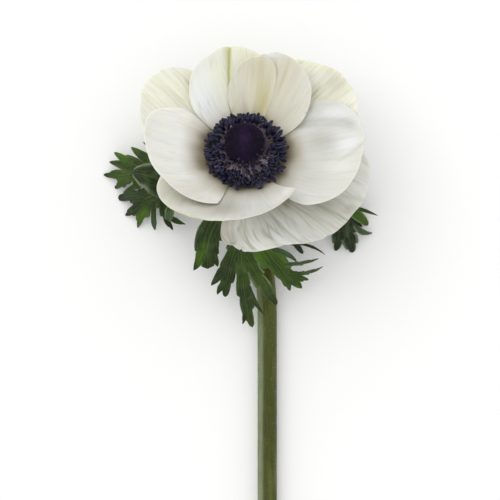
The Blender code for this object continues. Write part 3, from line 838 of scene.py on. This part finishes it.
def add_pistils(finish, rng):
    """Dome of hundreds of small blunt pistils on a round core."""
    shape = Shape()
    inner = 0.89  # size of the core, as a share of the dome
    profile = [
        (math.cos(angle) * DOME_RADIUS * inner, math.sin(angle) * DOME_HALF_HEIGHT * inner)
        for angle in np.linspace(-1.5, 1.5, 19)
    ]
    shape.add(*spun(profile, 48), BLACK_PURPLE)
    dome = np.array((DOME_RADIUS, DOME_RADIUS, DOME_HALF_HEIGHT))
    for index in range(PISTIL_COUNT):
        height = 1 - 1.86 * (index + 0.5) / PISTIL_COUNT
        around = index * GOLDEN_ANGLE
        flat = math.sqrt(1 - height * height)
        place = np.array((flat * math.cos(around), flat * math.sin(around), height))
        jitter = np.array([rng.uniform(-0.05, 0.05) for _ in range(3)])
        normal = unit(unit(place / dome) + jitter * 2 + UPWARD * 0.18)
        foot = (place + jitter * 0.2) * dome * inner
        reach = (1 - inner) * DOME_RADIUS * rng.uniform(0.7, 1.1)
        route = [foot + normal * reach * share for share in (-0.3, 0.35, 0.8, 1.0)]
        girth = rng.uniform(0.135, 0.185) * MM
        points, faces = tube(route, np.array((1.0, 1.0, 0.75, 0.3)) * girth, 6)
        # Painted purple highlight down the middle of the dome, with a random share of purple tone
        purple_highlight = 0.95 * bell(place[0], 0, 0.26) * bell(place[1], -0.25, 0.5)
        colour = blend(BLACK_PURPLE, PURPLE_TONE_AND_HIGHLIGHT, min(1, purple_highlight + rng.uniform(0, 0.25)))
        # Painted pale glints on a few low pistils
        if height < 0.25 and rng.random() < 0.10:
            colour = blend(colour, PALE_GLINT, 0.6)
        shape.add(points, faces, colour)
    centre = FLOWER @ Matrix.Translation((-0.2 * MM, -0.6 * MM, DOME_CENTRE))
    shape.make("pistils", centre, [finish], ["pistil_dome"])


def add_receptacle(finish):
    """Turned swelling that carries the tepals, with shallow ribs under their claws."""
    profile = np.array((
        (0.02, 6.4), (4.0, 6.2), (6.0, 5.6), (6.4, 4.6), (5.8, 3.2), (5.55, 0.6), (5.5, -1.2),
        (5.1, -2.0), (4.2, -2.8), (3.2, -3.4), (2.6, -4.2), (2.4, -4.6), (0.02, -4.6),
    ))
    points, faces = spun(profile * MM, 72)
    turn = np.arctan2(points[:, 1], points[:, 0])
    points[:, :2] *= (1 + 0.02 * np.cos(12 * turn) + 0.012 * np.cos(31 * turn))[:, None]
    height = points[:, 2] / MM
    colours = blend(srgb(150, 152, 104), srgb(176, 172, 128), smooth_step(height, -4, 1))
    colours = blend(colours, PINKISH, smooth_step(height, 1.5, 3.5))
    shape = Shape()
    shape.add(points, faces, colours)
    shape.make("receptacle_skin", FLOWER, [finish], ["receptacle"])


# ---- Stem

STEM_GREEN = srgb(69, 75, 27)
# Painted light: a pale stripe along the lit side
STEM_LIT_STRIPE = srgb(126, 135, 104)
STRIPE_EDGE = srgb(62, 62, 44)
STEM_BROWN = srgb(96, 76, 50)
# Painted light on the stem under the leaves, where they cast shadow
STEM_NECK_LIGHT = srgb(98, 108, 40)
STEM_PALE = srgb(112, 116, 58)
STEM_UV_LENGTH = 22 * MM  # of stem for each unit of V
HAIR_COUNT = 1500
CUT_ROWS = (  # of the cut end, from its rim in: share of the radius, depth in millimetres, colour
    (1.0, 0.0, (92, 100, 50)),
    (0.93, 0.04, (120, 130, 70)),
    (0.86, 0.0, (150, 160, 96)),
    (0.76, 0.10, (112, 128, 62)),
    (0.66, 0.04, (186, 192, 136)),
    (0.5, 0.12, (204, 206, 160)),
    (0.34, 0.2, (196, 198, 150)),
    (0.18, 0.42, (150, 146, 98)),
    (0.04, 0.5, (120, 112, 74)),
)
BUNDLE_ROWS = (2, 3)  # those with the ring of darker bundles
BUNDLE_COUNT = 16


def stem_point(distance):
    """Point on the stem's centre line, from the point on the surface under the flower's base."""
    bend = math.radians(90) - LEAN
    drop = BASE.z - STEM_RADIUS - NECK_STRAIGHT * math.cos(LEAN)
    radius = drop / (1 - math.cos(bend))
    straight = min(distance, NECK_STRAIGHT)
    past = max(0.0, distance - NECK_STRAIGHT)
    angle = min(bend, past / radius)
    y = -straight * math.sin(LEAN) - radius * (math.sin(bend) - math.sin(bend - angle))
    z = BASE.z - straight * math.cos(LEAN) - radius * (math.cos(bend - angle) - math.cos(bend))
    y -= max(0.0, past - bend * radius)
    return np.array((STEM_SHIFT * float(smooth_step(distance / SHIFT_LENGTH)), y, z))


def stem_radius(distance):
    swell = smooth_step((distance - INVOLUCRE * 0.8) / (INVOLUCRE * 2))
    return NECK_RADIUS + (STEM_RADIUS - NECK_RADIUS) * swell


def add_cut_end(rim, finish):
    """Flat cut across the stem with a ring of bundles; rim is the stem's last ring of corners."""
    centre = rim.mean(0)
    rows = [centre + (rim - centre) * share + (0, depth * MM, 0) for share, depth, _ in CUT_ROWS]
    colours = np.array([[srgb(*colour)] * len(rim) for *_, colour in CUT_ROWS])
    bundles = np.zeros((len(rows), len(rim)))
    bundles[BUNDLE_ROWS, :] = 0.5 + 0.5 * np.cos(turns(len(rim)) * BUNDLE_COUNT)
    colours = blend(colours, srgb(78, 96, 40), 0.6 * bundles)
    faces = closed_faces(len(rows), len(rim))
    del faces[-2]  # the one over the rim
    shape = Shape()
    shape.add(rows, faces, colours)
    shape.make("stem_cut_end", GROUND, [finish])


def add_stem(skin, cut):
    """Softly faceted stem with fine ridges, and its cut end."""
    # The stem ends straight, so a distance past its cut end tells how long it is.
    past_the_end = -2 * CUT_END
    length = past_the_end - (CUT_END - stem_point(past_the_end)[1])
    rings, sides = 260, 60
    distances = np.linspace(NECK_TOP, length, rings)
    route = np.array([stem_point(distance) for distance in distances])
    radii = stem_radius(distances)
    along, around = np.meshgrid(distances / MM, turns(sides), indexing="ij")
    ridge = 0.98 + 0.018 * np.cos(5 * around + 0.010 * along) + 0.008 * np.cos(13 * around)
    ridge = ridge + 0.012 * noise_field(np.cos(around) * 1.2, np.sin(around) * 1.2, along * 0.035)
    points, faces = tube(route, radii[:, None] * ridge, sides)
    facing = (points.reshape(rings, sides, 3) - route[:, None]) / radii[:, None, None]
    right, up = facing[..., 0], facing[..., 2]
    middle = right + 0.06 * noise_field(along * 0.03, 0.0, 9.0)
    pale = smooth_step(noise_field(right * 1.5, along * 0.05, 3.0), 0.1, 0.5)
    colours = np.broadcast_to(STEM_GREEN, right.shape + (3,))
    # Painted light: a pale stripe along the left side with a dark line at its edge, and a lighter
    # stem under the leaves
    for colour, share in (
        (STEM_LIT_STRIPE, 1 - smooth_step(middle, -0.66, -0.24)),
        (STRIPE_EDGE, 0.4 * bell(middle, -0.36, 0.07) * (up > 0)),
        (STEM_BROWN, 0.7 * smooth_step(right, 0.88, 1.0)),
        (STEM_NECK_LIGHT, 0.6 * (1 - smooth_step(along, 40, 95))),
        (STEM_PALE, 0.35 * pale),
    ):
        colours = blend(colours, colour, share)
    shape = Shape()
    uvs = np.stack([around / math.tau, along * MM / STEM_UV_LENGTH], -1)
    shape.add(points, faces[:-1], colours, uvs)
    shape.make("stem_skin", GROUND, [skin], ["stem"])
    add_cut_end(points[-sides:], cut)


def add_hairs(finish, rng):
    """Sparse fine hairs, longest just under the flower."""
    shape = Shape()
    for _ in range(HAIR_COUNT):
        distance = (4.5 + 130 * rng.random() ** 1.7) * MM
        centre = stem_point(distance)
        ahead = unit(stem_point(distance + 0.1 * MM) - centre)
        side = unit(np.cross(ahead, (1.0, 0.0, 0.0)))
        turn = rng.uniform(0, math.tau)
        out = side * math.cos(turn) + np.cross(ahead, side) * math.sin(turn)
        foot = centre + out * stem_radius(distance) * 0.97
        if foot[2] < 0.6 * MM:  # it would lie on the surface
            continue
        reach = rng.uniform(0.35, 0.9) * MM * (1.3 - 0.6 * min(1, distance / 0.06))
        lean = ahead * rng.uniform(-0.9, 0.1) + side * rng.uniform(-0.4, 0.4)
        route = [foot, foot + (out + lean * 0.3) * reach * 0.6, foot + (out + lean) * reach]
        points, faces = tube(route, np.array((0.035, 0.028, 0.008)) * MM, 3)
        shape.add(points, faces, srgb(188, 196, 160))
    shape.make("stem_hairs", GROUND, [finish])


# ---- Leaves

LEAF_GREEN = srgb(56, 80, 20)
LEAF_BRIGHT = srgb(80, 116, 18)
LEAF_DARK = srgb(26, 39, 16)
LEAF_GREY = srgb(84, 106, 76)
LEAF_PALE = srgb(150, 160, 128)
LOBE_STEPS = 40
LEAF_SPACING = 0.48 * MM  # of the corners inside a sheet
LEAF_THICKNESS = 0.34 * MM
MERGE_DISTANCE = 0.06 * MM
NARROWEST = 0.25 * MM  # half width that a lobe's places are measured against, at least
BLADE_UV_LENGTH = 10 * MM  # of leaf for each unit of V


@dataclass
class Lobe:
    """One lobe of a divided leaf, in millimetres, much as in the CAD model."""

    parent: int  # the lobe it grows from, or -1 at the leaf's root
    share: float  # how far along that lobe it starts
    tip: tuple
    width: float
    bow: float = 0.0  # of its middle to the side
    arch: float = 1.0  # of its middle upward
    widest: float = 0.5  # share of the length at which it is widest
    foot: float = 0.5  # width at its foot, as a share of the widest
    blunt: float = 0.7  # smaller for a rounder tip
    teeth: int = 0  # on each side


@dataclass
class Sheet:
    """Lobes that grow as one even sheet, which lies over or under the leaf's other sheets."""

    lobes: tuple
    lift: float = 0.0  # millimetres over the leaf's first sheet
    fold: float = 0.15  # rise of a lobe's edges over its midline, as a share of its half width
    skin: tuple = LEAF_GREEN
    bright: tuple = ()  # lobes of a fresher green
    # the grey bloom is partly painted sheen
    grey: tuple = ()  # lobes with a grey bloom
    dark: tuple = ()
    pale: tuple = ()  # lobes with a pale margin


LEFT_LEAF = [Lobe(*row) for row in (
    (-1, 0, (-27, -10, 11), 8, 0, 3),
    (0, 1.0, (-51.4, -5.6, 0), 5.5, -1, 3, 0.7, 0.7, 0.65, 2),
    (1, 0.55, (-47.2, -10.4, 1), 3.4, 0, 1, 0.6, 0.6, 0.5, 1),
    (1, 0.30, (-43.7, -11.6, 2.5), 2.4, 0, 1, 0.5, 0.7),
    (0, 0.95, (-49.2, -1.0, 2), 3.6, -1, 3, 0.75, 0.5, 0.6),
    (0, 0.80, (-47.3, 2.4, 4), 5.2, 1, 3, 0.7, 0.5, 0.6, 1),
    (0, 0.65, (-41.1, 4.2, 7), 4.2, 1, 2, 0.7, 0.6, 0.6),
    (0, 0.97, (-40.2, -5.2, 12), 11.6, -0.6, 5, 0.42, 1.0, 0.5),
    (0, 0.50, (-38, -15.3, 4), 12.6, -1.2, 3, 0.6, 0.5, 0.35),
    (8, 0.82, (-46.0, -14.1, 0), 5.2, -0.5, 1, 0.6, 0.8, 0.4, 1),
    (8, 0.80, (-43.6, -20.3, 0), 5.4, 0.5, 1, 0.6, 0.9, 0.75, 2),
    (8, 0.76, (-39.0, -24.9, 0), 5.4, -0.8, 1, 0.55, 0.9, 0.8, 1),
    (8, 0.72, (-32.6, -25.7, 2), 1.9, -0.8, 1, 0.8, 0.3, 0.55),
    (8, 0.62, (-26.1, -25.7, 4), 4.2, -1.2, 1, 0.5, 0.8, 0.6, 2),
    (13, 0.5, (-21.3, -23.6, 8), 2.0, -0.8, 0, 0.6, 0.6, 0.8),
    (13, 0.72, (-27.2, -16.4, 11.5), 3.4, -0.5, 1.5, 0.55, 0.7, 0.6),
    (0, 0.30, (-17.2, 32.0, 15), 4, 3, -3),
    (0, 0.45, (-36.7, 5.9, 10), 3.4, 1),
)]

FRONT_LEAF = [Lobe(*row) for row in (
    (-1, 0, (-1, -27, 19.5), 8, 0, 1.5, 0.5, 0.5, 0.4),
    (0, 0.05, (-13.4, -39.6, 14), 11.2, -5.4, 3, 0.62, 0.5, 0.3, 1),
    (1, 0.62, (-18.4, -40.2, 13), 5, 0.4, 0, 0.5, 0.8),
    (1, 0.65, (-9.8, -38.8, 14), 4.5, -0.3, 0.5, 0.5, 0.8, 0.6, 1),
    (0, 0.90, (-7.2, -49.7, 12), 6.8, -1.2, 2, 0.55, 0.6, 0.45, 2),
    (4, 0.50, (-12.2, -45.6, 12), 3.6, 0, 0, 0.5, 0.9),
    (4, 0.75, (-9.9, -48.8, 13.5), 2.2, -0.4, 0, 0.6, 0.6),
    (0, 0.90, (2.6, -60.7, 8), 5.6, -1.8, 3, 0.75, 0.85, 0.45, 2),
    (7, 0.78, (-0.9, -59.5, 8.5), 2.4, 0.2, 0, 0.4, 0.9),
    (7, 0.48, (7.1, -56.4, 9.5), 2.8, -0.7, 0.5, 0.3, 1.0, 0.8),
    (7, 0.20, (11.4, -52.5, 11), 6.0, -0.3, 2, 0.55, 1.0, 0.5, 2),
    (0, 0.55, (20.4, -46.6, 12), 11, -2, 3, 0.45, 0.6, 0.6, 2),
    (11, 0.62, (16.1, -47.5, 11), 4.4, 0.4, 0.5, 0.5, 0.9, 0.6, 1),
    (11, 0.72, (22.8, -43.6, 12), 3.6, -0.4, 0.5, 0.5, 0.8, 0.6, 1),
    (11, 0.74, (27.9, -38.8, 14), 1.7, -1.4, 0, 0.6, 0.6, 0.6, 2),
    (11, 0.62, (26.3, -35.9, 16), 1.7, -0.9, 0, 0.6, 0.6, 0.6, 2),
    (11, 0.42, (18.4, -36.9, 16.5), 2.0, 1.2, 1, 0.6, 0.6, 0.5),
)]

RIGHT_LEAF = [Lobe(*row) for row in (
    (-1, 0, (27, -15, 10), 8, 0, 3),
    (0, 1.0, (48.0, -20.5, 4), 1.2, 0.7, 2, 0.8, 0.8),
    (0, 0.9, (44.5, -23.9, 0.6), 4.0, 2.0, 3, 0.78, 0.5, 0.4),
    (0, 0.6, (42.4, -24.6, 0.5), 7.5, 0.5, 3, 0.7, 0.5, 0.7, 1),
    (3, 0.85, (46.2, -26.7, 0), 2.2, -1.6, 1.5, 0.6),
    (3, 0.68, (38.9, -33.8, 0), 7.6, 0.2, 1.5, 0.6, 0.8, 0.5, 2),
    (3, 0.60, (32.6, -33.2, 0), 6.6, 1.2, 0.5, 0.55, 0.9, 0.6, 1),
    (0, 0.3, (20.9, -34.3, 5), 5, -2, 2, 0.6, 0.5, 0.5, 1),
    (7, 0.82, (29.0, -34.7, 4), 1.0, 1.0, 0.5, 0.5, 0.8),
    (0, 0.5, (38.0, -6.0, 5), 8, 1, 2),
    (9, 0.5, (41.0, -11.5, 4), 5),
    (9, 0.4, (33.0, 2.5, 7), 5),
)]

LEFT_SHEETS = (
    Sheet((0, 1, 2, 3, 4, 5, 6, 16, 17), fold=0.25, bright=(5, 6)),
    Sheet((8, 9, 10, 11, 12, 13, 14), 0.5, 0.25, bright=(11,), grey=(9, 12), dark=(8, 9, 10, 13)),
    Sheet((7,), 2.0, 0.7, srgb(40, 56, 22), pale=(7,)),
    Sheet((15,), 1.3, 0.7, grey=(15,), pale=(15,)),
)
FRONT_SHEETS = (
    Sheet((0, 4, 5, 6, 7, 8, 9, 10), grey=(6,), dark=(4, 5, 8), pale=(10,)),
    Sheet((1, 2, 3), -0.6, 0.25, srgb(42, 62, 18), bright=(2,), dark=(3,)),
    Sheet(
        (11, 12, 13, 14, 15, 16), -0.8, 0.3, srgb(70, 100, 26),
        bright=(11,), grey=(14, 15, 16), pale=(14, 15),
    ),
)
RIGHT_SHEETS = (
    Sheet((0, 1, 2, 9, 10, 11), fold=0.35, bright=(2,), pale=(2,)),
    Sheet((3, 4, 5, 6), 0.4, 0.4, srgb(34, 50, 20), grey=(4,), pale=(4, 5, 6)),
    Sheet((7, 8), -0.3, skin=srgb(44, 60, 30), pale=(8,)),
)


def lobe_route(lobe, start):
    """Points along a lobe's midline; it lies flat where it meets the surface."""
    tip = np.array(lobe.tip, float) * MM
    across = unit(np.cross(tip - start, (0, 0, -1)))
    middle = (start + tip) / 2 + across * lobe.bow * MM + (0, 0, lobe.arch * MM)
    route = bowed_line(start, middle, tip, LOBE_STEPS + 1)
    route[:, 2] = np.maximum(route[:, 2], LEAF_HALF_THICKNESS)
    return route


def along_route(route, share):
    places = np.arange(len(route))
    return np.array([np.interp(share * places[-1], places, axis) for axis in route.T])


def lobe_half_width(lobe, share, side, seed):
    """Half width along a lobe on one side, 1 or -1, with its teeth and its uneven edge."""
    swell = lobe.foot + (1 - lobe.foot) * np.sin(math.pi / 2 * np.minimum(1.0, share / lobe.widest))
    taper = np.minimum(1.0, (1 - share) / (1 - lobe.widest)) ** lobe.blunt
    uneven = 1 + 0.09 * noise_field(share * 6.0, seed, side * 4.0)
    if lobe.teeth:
        first = lobe.widest * 0.5
        saw = ((share - first) / (1 - first) * (lobe.teeth + 0.6) + 0.2 * side) % 1
        uneven = uneven - 0.36 * (1 - saw) ** 1.5 * smooth_step(share, first, first + 0.1)
    return lobe.width / 2 * MM * swell * taper * uneven


def measured(route, places):
    """Share along a route and signed distance from it, to the left, for each flat place."""
    starts, ends = route[:-1, :2], route[1:, :2]
    steps = ends - starts
    from_start = places[:, None, :] - starts
    share = np.clip((from_start * steps).sum(2) / (steps**2).sum(1), 0, 1)
    offset = from_start - share[..., None] * steps
    distance = np.linalg.norm(offset, axis=2)
    nearest = distance.argmin(1)
    rows = np.arange(len(places))
    step, offset = steps[nearest], offset[rows, nearest]
    side = step[:, 0] * offset[:, 1] - step[:, 1] * offset[:, 0]
    position = (nearest + share[rows, nearest]) / len(steps)
    return position, distance[rows, nearest] * np.sign(side + 1e-15)


def inside_any(outlines, places):
    """Whether each flat place is inside any of some closed outlines."""
    x, y = places[:, 0:1], places[:, 1:2]
    inside = np.zeros(len(places), bool)
    for outline in outlines:
        x0, y0 = outline[:, 0], outline[:, 1]
        x1, y1 = np.roll(x0, -1), np.roll(y0, -1)
        crosses = (y0 > y) != (y1 > y)
        with np.errstate(divide="ignore", invalid="ignore"):
            at = x0 + (y - y0) * (x1 - x0) / (y1 - y0)
        inside |= (crosses & (x < at)).sum(1) % 2 == 1
    return inside


def lobe_outline(lobe, route, seed):
    """Flat outline of a lobe, out along its left side and back along its right."""
    ahead = np.gradient(route[:, :2], axis=0)
    ahead /= np.linalg.norm(ahead, axis=1)[:, None]
    side = np.c_[-ahead[:, 1], ahead[:, 0]]
    shares = np.linspace(0, 1, LOBE_STEPS + 1)
    left, right = (
        route[:, :2] + way * side * lobe_half_width(lobe, shares, way, seed)[:, None]
        for way in (1, -1)
    )
    return np.concatenate([left, right[-2::-1]])


def merged_outlines(outlines):
    """One flat mesh over overlapping outlines, filled with an even net of corners."""
    corners = np.concatenate(outlines)
    edges = []
    first = 0
    for outline in outlines:
        ring = np.arange(len(outline)) + first
        edges.extend(zip(ring.tolist(), np.roll(ring, -1).tolist()))
        first += len(outline)
    low, high = corners.min(0), corners.max(0)
    rows = np.arange(low[1], high[1], LEAF_SPACING * math.sqrt(3) / 2)
    net = np.array([
        (x + (row % 2) * LEAF_SPACING / 2, y)
        for row, y in enumerate(rows)
        for x in np.arange(low[0], high[0], LEAF_SPACING)
    ])
    net = net[inside_any(outlines, net)]
    places = [Vector(place) for place in np.concatenate([corners, net])]
    merged = delaunay_2d_cdt(places, edges, [], 0, MERGE_DISTANCE)
    places = np.array([tuple(place) for place in merged[0]])
    faces = np.array(merged[2])
    faces = faces[inside_any(outlines, places[faces].mean(1))]
    used, renumbered = np.unique(faces, return_inverse=True)
    return places[used], renumbered.reshape(faces.shape)


def lobe_section(sheet, offset, half, share, seed):
    """Height across a lobe: a soft fold, an impressed midrib and a margin that turns down."""
    away = abs(offset)
    fold = sheet.fold * half * (np.sqrt(away**2 + 0.01) - 0.1)
    margin = -0.22 * half * smooth_step(away, 0.55, 1.1) ** 2
    veins = 0.07 * MM * np.cos(away * VEIN_RATE) * smooth_step(away, 0.05, 0.3)
    waves = 0.10 * half * away * np.sin(share * 13 + seed * 2.1)
    return fold + margin - veins + waves


def lobe_rows(sheet, lobe, route, seed, places):
    """Height, weight, length from the foot, and offset in half widths, of places near a lobe."""
    share, distance = measured(route, places)
    half = np.maximum(lobe_half_width(lobe, share, np.sign(distance), seed), NARROWEST)
    offset = distance / half
    height = np.interp(share * LOBE_STEPS, np.arange(LOBE_STEPS + 1), route[:, 2])
    height = height + lobe_section(sheet, np.clip(offset, -1.5, 1.5), half, share, seed)
    weight = np.maximum(0, 1.35 - abs(offset)) ** 2 * (0.05 + smooth_step(share, 0, 0.3))
    weight = weight * (1 - 0.98 * smooth_step(share, 0.85, 1.0)) + 1e-6
    length = np.linalg.norm(np.diff(route, axis=0), axis=1).sum()
    return height, weight, share * length, offset


def sheet_colours(sheet, own, offsets, cloud):
    """Tints of a sheet; own is each lobe's share in each place."""
    colours = np.broadcast_to(sheet.skin, (own.shape[1], 3))
    for special, colour, at_rim in (
        (sheet.bright, LEAF_BRIGHT, False),
        (sheet.grey, LEAF_GREY, False),
        (sheet.dark, LEAF_DARK, False),
        (sheet.pale, LEAF_PALE, True),
    ):
        chosen = [row for row, index in enumerate(sheet.lobes) if index in special]
        rim = smooth_step(abs(offsets[chosen]), 0.65, 1.0) if at_rim else 1
        amount = (own[chosen] * rim).sum(0) * smooth_step(-cloud, -0.5, 0.3)
        colours = blend(colours, colour, 0.85 * np.minimum(1, amount))
    return blend(colours, LEAF_DARK, 0.5 * smooth_step(cloud, 0.0, 0.45))


def add_leaf(name, lobes, sheets, root, finishes):
    """Divided leaf of several even sheets."""
    routes = []
    for lobe in lobes:
        start = root if lobe.parent < 0 else along_route(routes[lobe.parent], lobe.share)
        routes.append(lobe_route(lobe, start))
    shape = Shape()
    for order, sheet in enumerate(sheets):
        chosen = [(lobes[index], routes[index], float(index)) for index in sheet.lobes]
        places, faces = merged_outlines([lobe_outline(*lobe) for lobe in chosen])
        rows = [lobe_rows(sheet, *lobe, places) for lobe in chosen]
        heights, weights, lengths, offsets = (np.array(row) for row in zip(*rows))
        z = (heights * weights).sum(0) / weights.sum(0)
        away = np.linalg.norm(places - root[:2], axis=1)
        z = z + sheet.lift * MM * smooth_step(away / MM, 2, 14)
        z = np.maximum(z, LEAF_HALF_THICKNESS)
        cloud = noise_field(places[:, 0] * 90, places[:, 1] * 90, float(order))
        colours = sheet_colours(sheet, weights / weights.sum(0), offsets, cloud)
        # Each face takes its UVs from the lobe that rules it, so they are given a corner at a time.
        ruling = np.repeat(weights[:, faces].sum(2).argmax(0), 3)
        corners = faces.ravel()
        uvs = np.stack([offsets[ruling, corners], lengths[ruling, corners] / BLADE_UV_LENGTH], 1)
        shape.add(np.c_[places, z], faces, colours, uvs)
    shell(shape.make(name + "_blades", GROUND, finishes, [name]), LEAF_THICKNESS)


# ---- Scene


def add_floor():
    mesh = bpy.data.meshes.new("floor")
    reach = 3.0
    corners = [(-reach, -reach, 0), (reach, -reach, 0), (reach, reach, 0), (-reach, reach, 0)]
    mesh.from_pydata(corners, [], [(0, 1, 2, 3)])
    paper = {"Base Color": (0.96, 0.96, 0.96), "Roughness": 0.9, "Specular IOR Level": 0.0}
    mesh.materials.append(Finish("floor_paper", paper).made)
    floor = add_object("floor", mesh)


def add_lights():
    """Even white surroundings, and a broad soft lamp at the upper left."""
    world = bpy.data.worlds.new("studio")
    world.use_nodes = True
    background = world.node_tree.nodes["Background"]
    background.inputs["Color"].default_value = (1, 1, 1, 1)
    background.inputs["Strength"].default_value = 0.88
    bpy.context.scene.world = world
    lamp = bpy.data.lights.new("key", "AREA")
    lamp.shape = "DISK"
    lamp.size = 2.2
    lamp.energy = 15.0
    lamp.color = (1.0, 0.99, 0.975)
    holder = add_object("key", lamp)
    holder.location = (BASE.x - 0.75, BASE.y + 0.85, 2.0)
    holder.rotation_euler = (BASE - holder.location).to_track_quat("-Z", "Y").to_euler()


def add_camera():
    """Camera that looks straight down; field is the width it sees at the flower's base."""
    distance, field, sensor = 0.9, 0.175, 36.0
    lens = bpy.data.cameras.new("overhead")
    lens.sensor_width = sensor
    lens.lens = sensor * distance / field
    lens.clip_start = 0.01
    holder = add_object("overhead", lens)
    holder.location = (BASE.x + 1.75 * MM, BASE.y - 32.9 * MM, BASE.z + distance)
    bpy.context.scene.camera = holder


def main():
    rng = random.Random(SEED)
    add_camera()
    add_lights()
    add_floor()
    tepal_skins = {
        "soft": tepal_finish("tepal_inner_skin", (0.86, 0.86, 0.83), 0.4, 0.15),
        "marked": tepal_finish("tepal_veined_skin", (0.80, 0.80, 0.70), 0.6, 0.35),
        "outer": tepal_finish("tepal_outer_skin", (0.76, 0.78, 0.62), 0.7, 0.3),
    }
    for tepal in TEPALS:
        add_tepal(tepal, tepal_skins)
    anther_skin = tinted_finish("anther_skin", 900, 0.6, 0.4, 0.34, specular=0.24)
    for order, ring in enumerate(RINGS):
        add_ring(ring, order, anther_skin, rng)
    add_pistils(tinted_finish("pistil_velvet", 700, 0.7, 0.3, 0.7, specular=0.2, sheen=0.05), rng)
    add_receptacle(tinted_finish("receptacle_skin", 500, 0.75, 0.3, 0.6))
    add_stem(stem_finish(), tinted_finish("cut_skin", 1200, 0.8, 0.4, 0.4))
    add_hairs(tinted_finish("hair_skin", 900, 0.9, 0.0, 0.5), rng)
    blades = (
        leaf_finish("leaf_upper_skin", srgb(108, 126, 84), 0.24, srgb(104, 130, 66), 0.3),
        leaf_finish("leaf_under_skin", srgb(128, 140, 112), 0.7, srgb(140, 160, 106), 0.6),
    )
    neck = stem_point(INVOLUCRE)
    clear = NECK_RADIUS + GAP + LEAF_HALF_THICKNESS
    add_leaf("leaf_left", LEFT_LEAF, LEFT_SHEETS, neck + (-clear, 0.5 * MM, 0), blades)
    add_leaf("leaf_right", RIGHT_LEAF, RIGHT_SHEETS, neck + (clear, 0.5 * MM, 0), blades)
    add_leaf("leaf_front", FRONT_LEAF, FRONT_SHEETS, neck + (0, -2.6 * MM, 2.6 * MM), blades)
    bpy.context.scene.view_settings.view_transform = "Standard"


main()
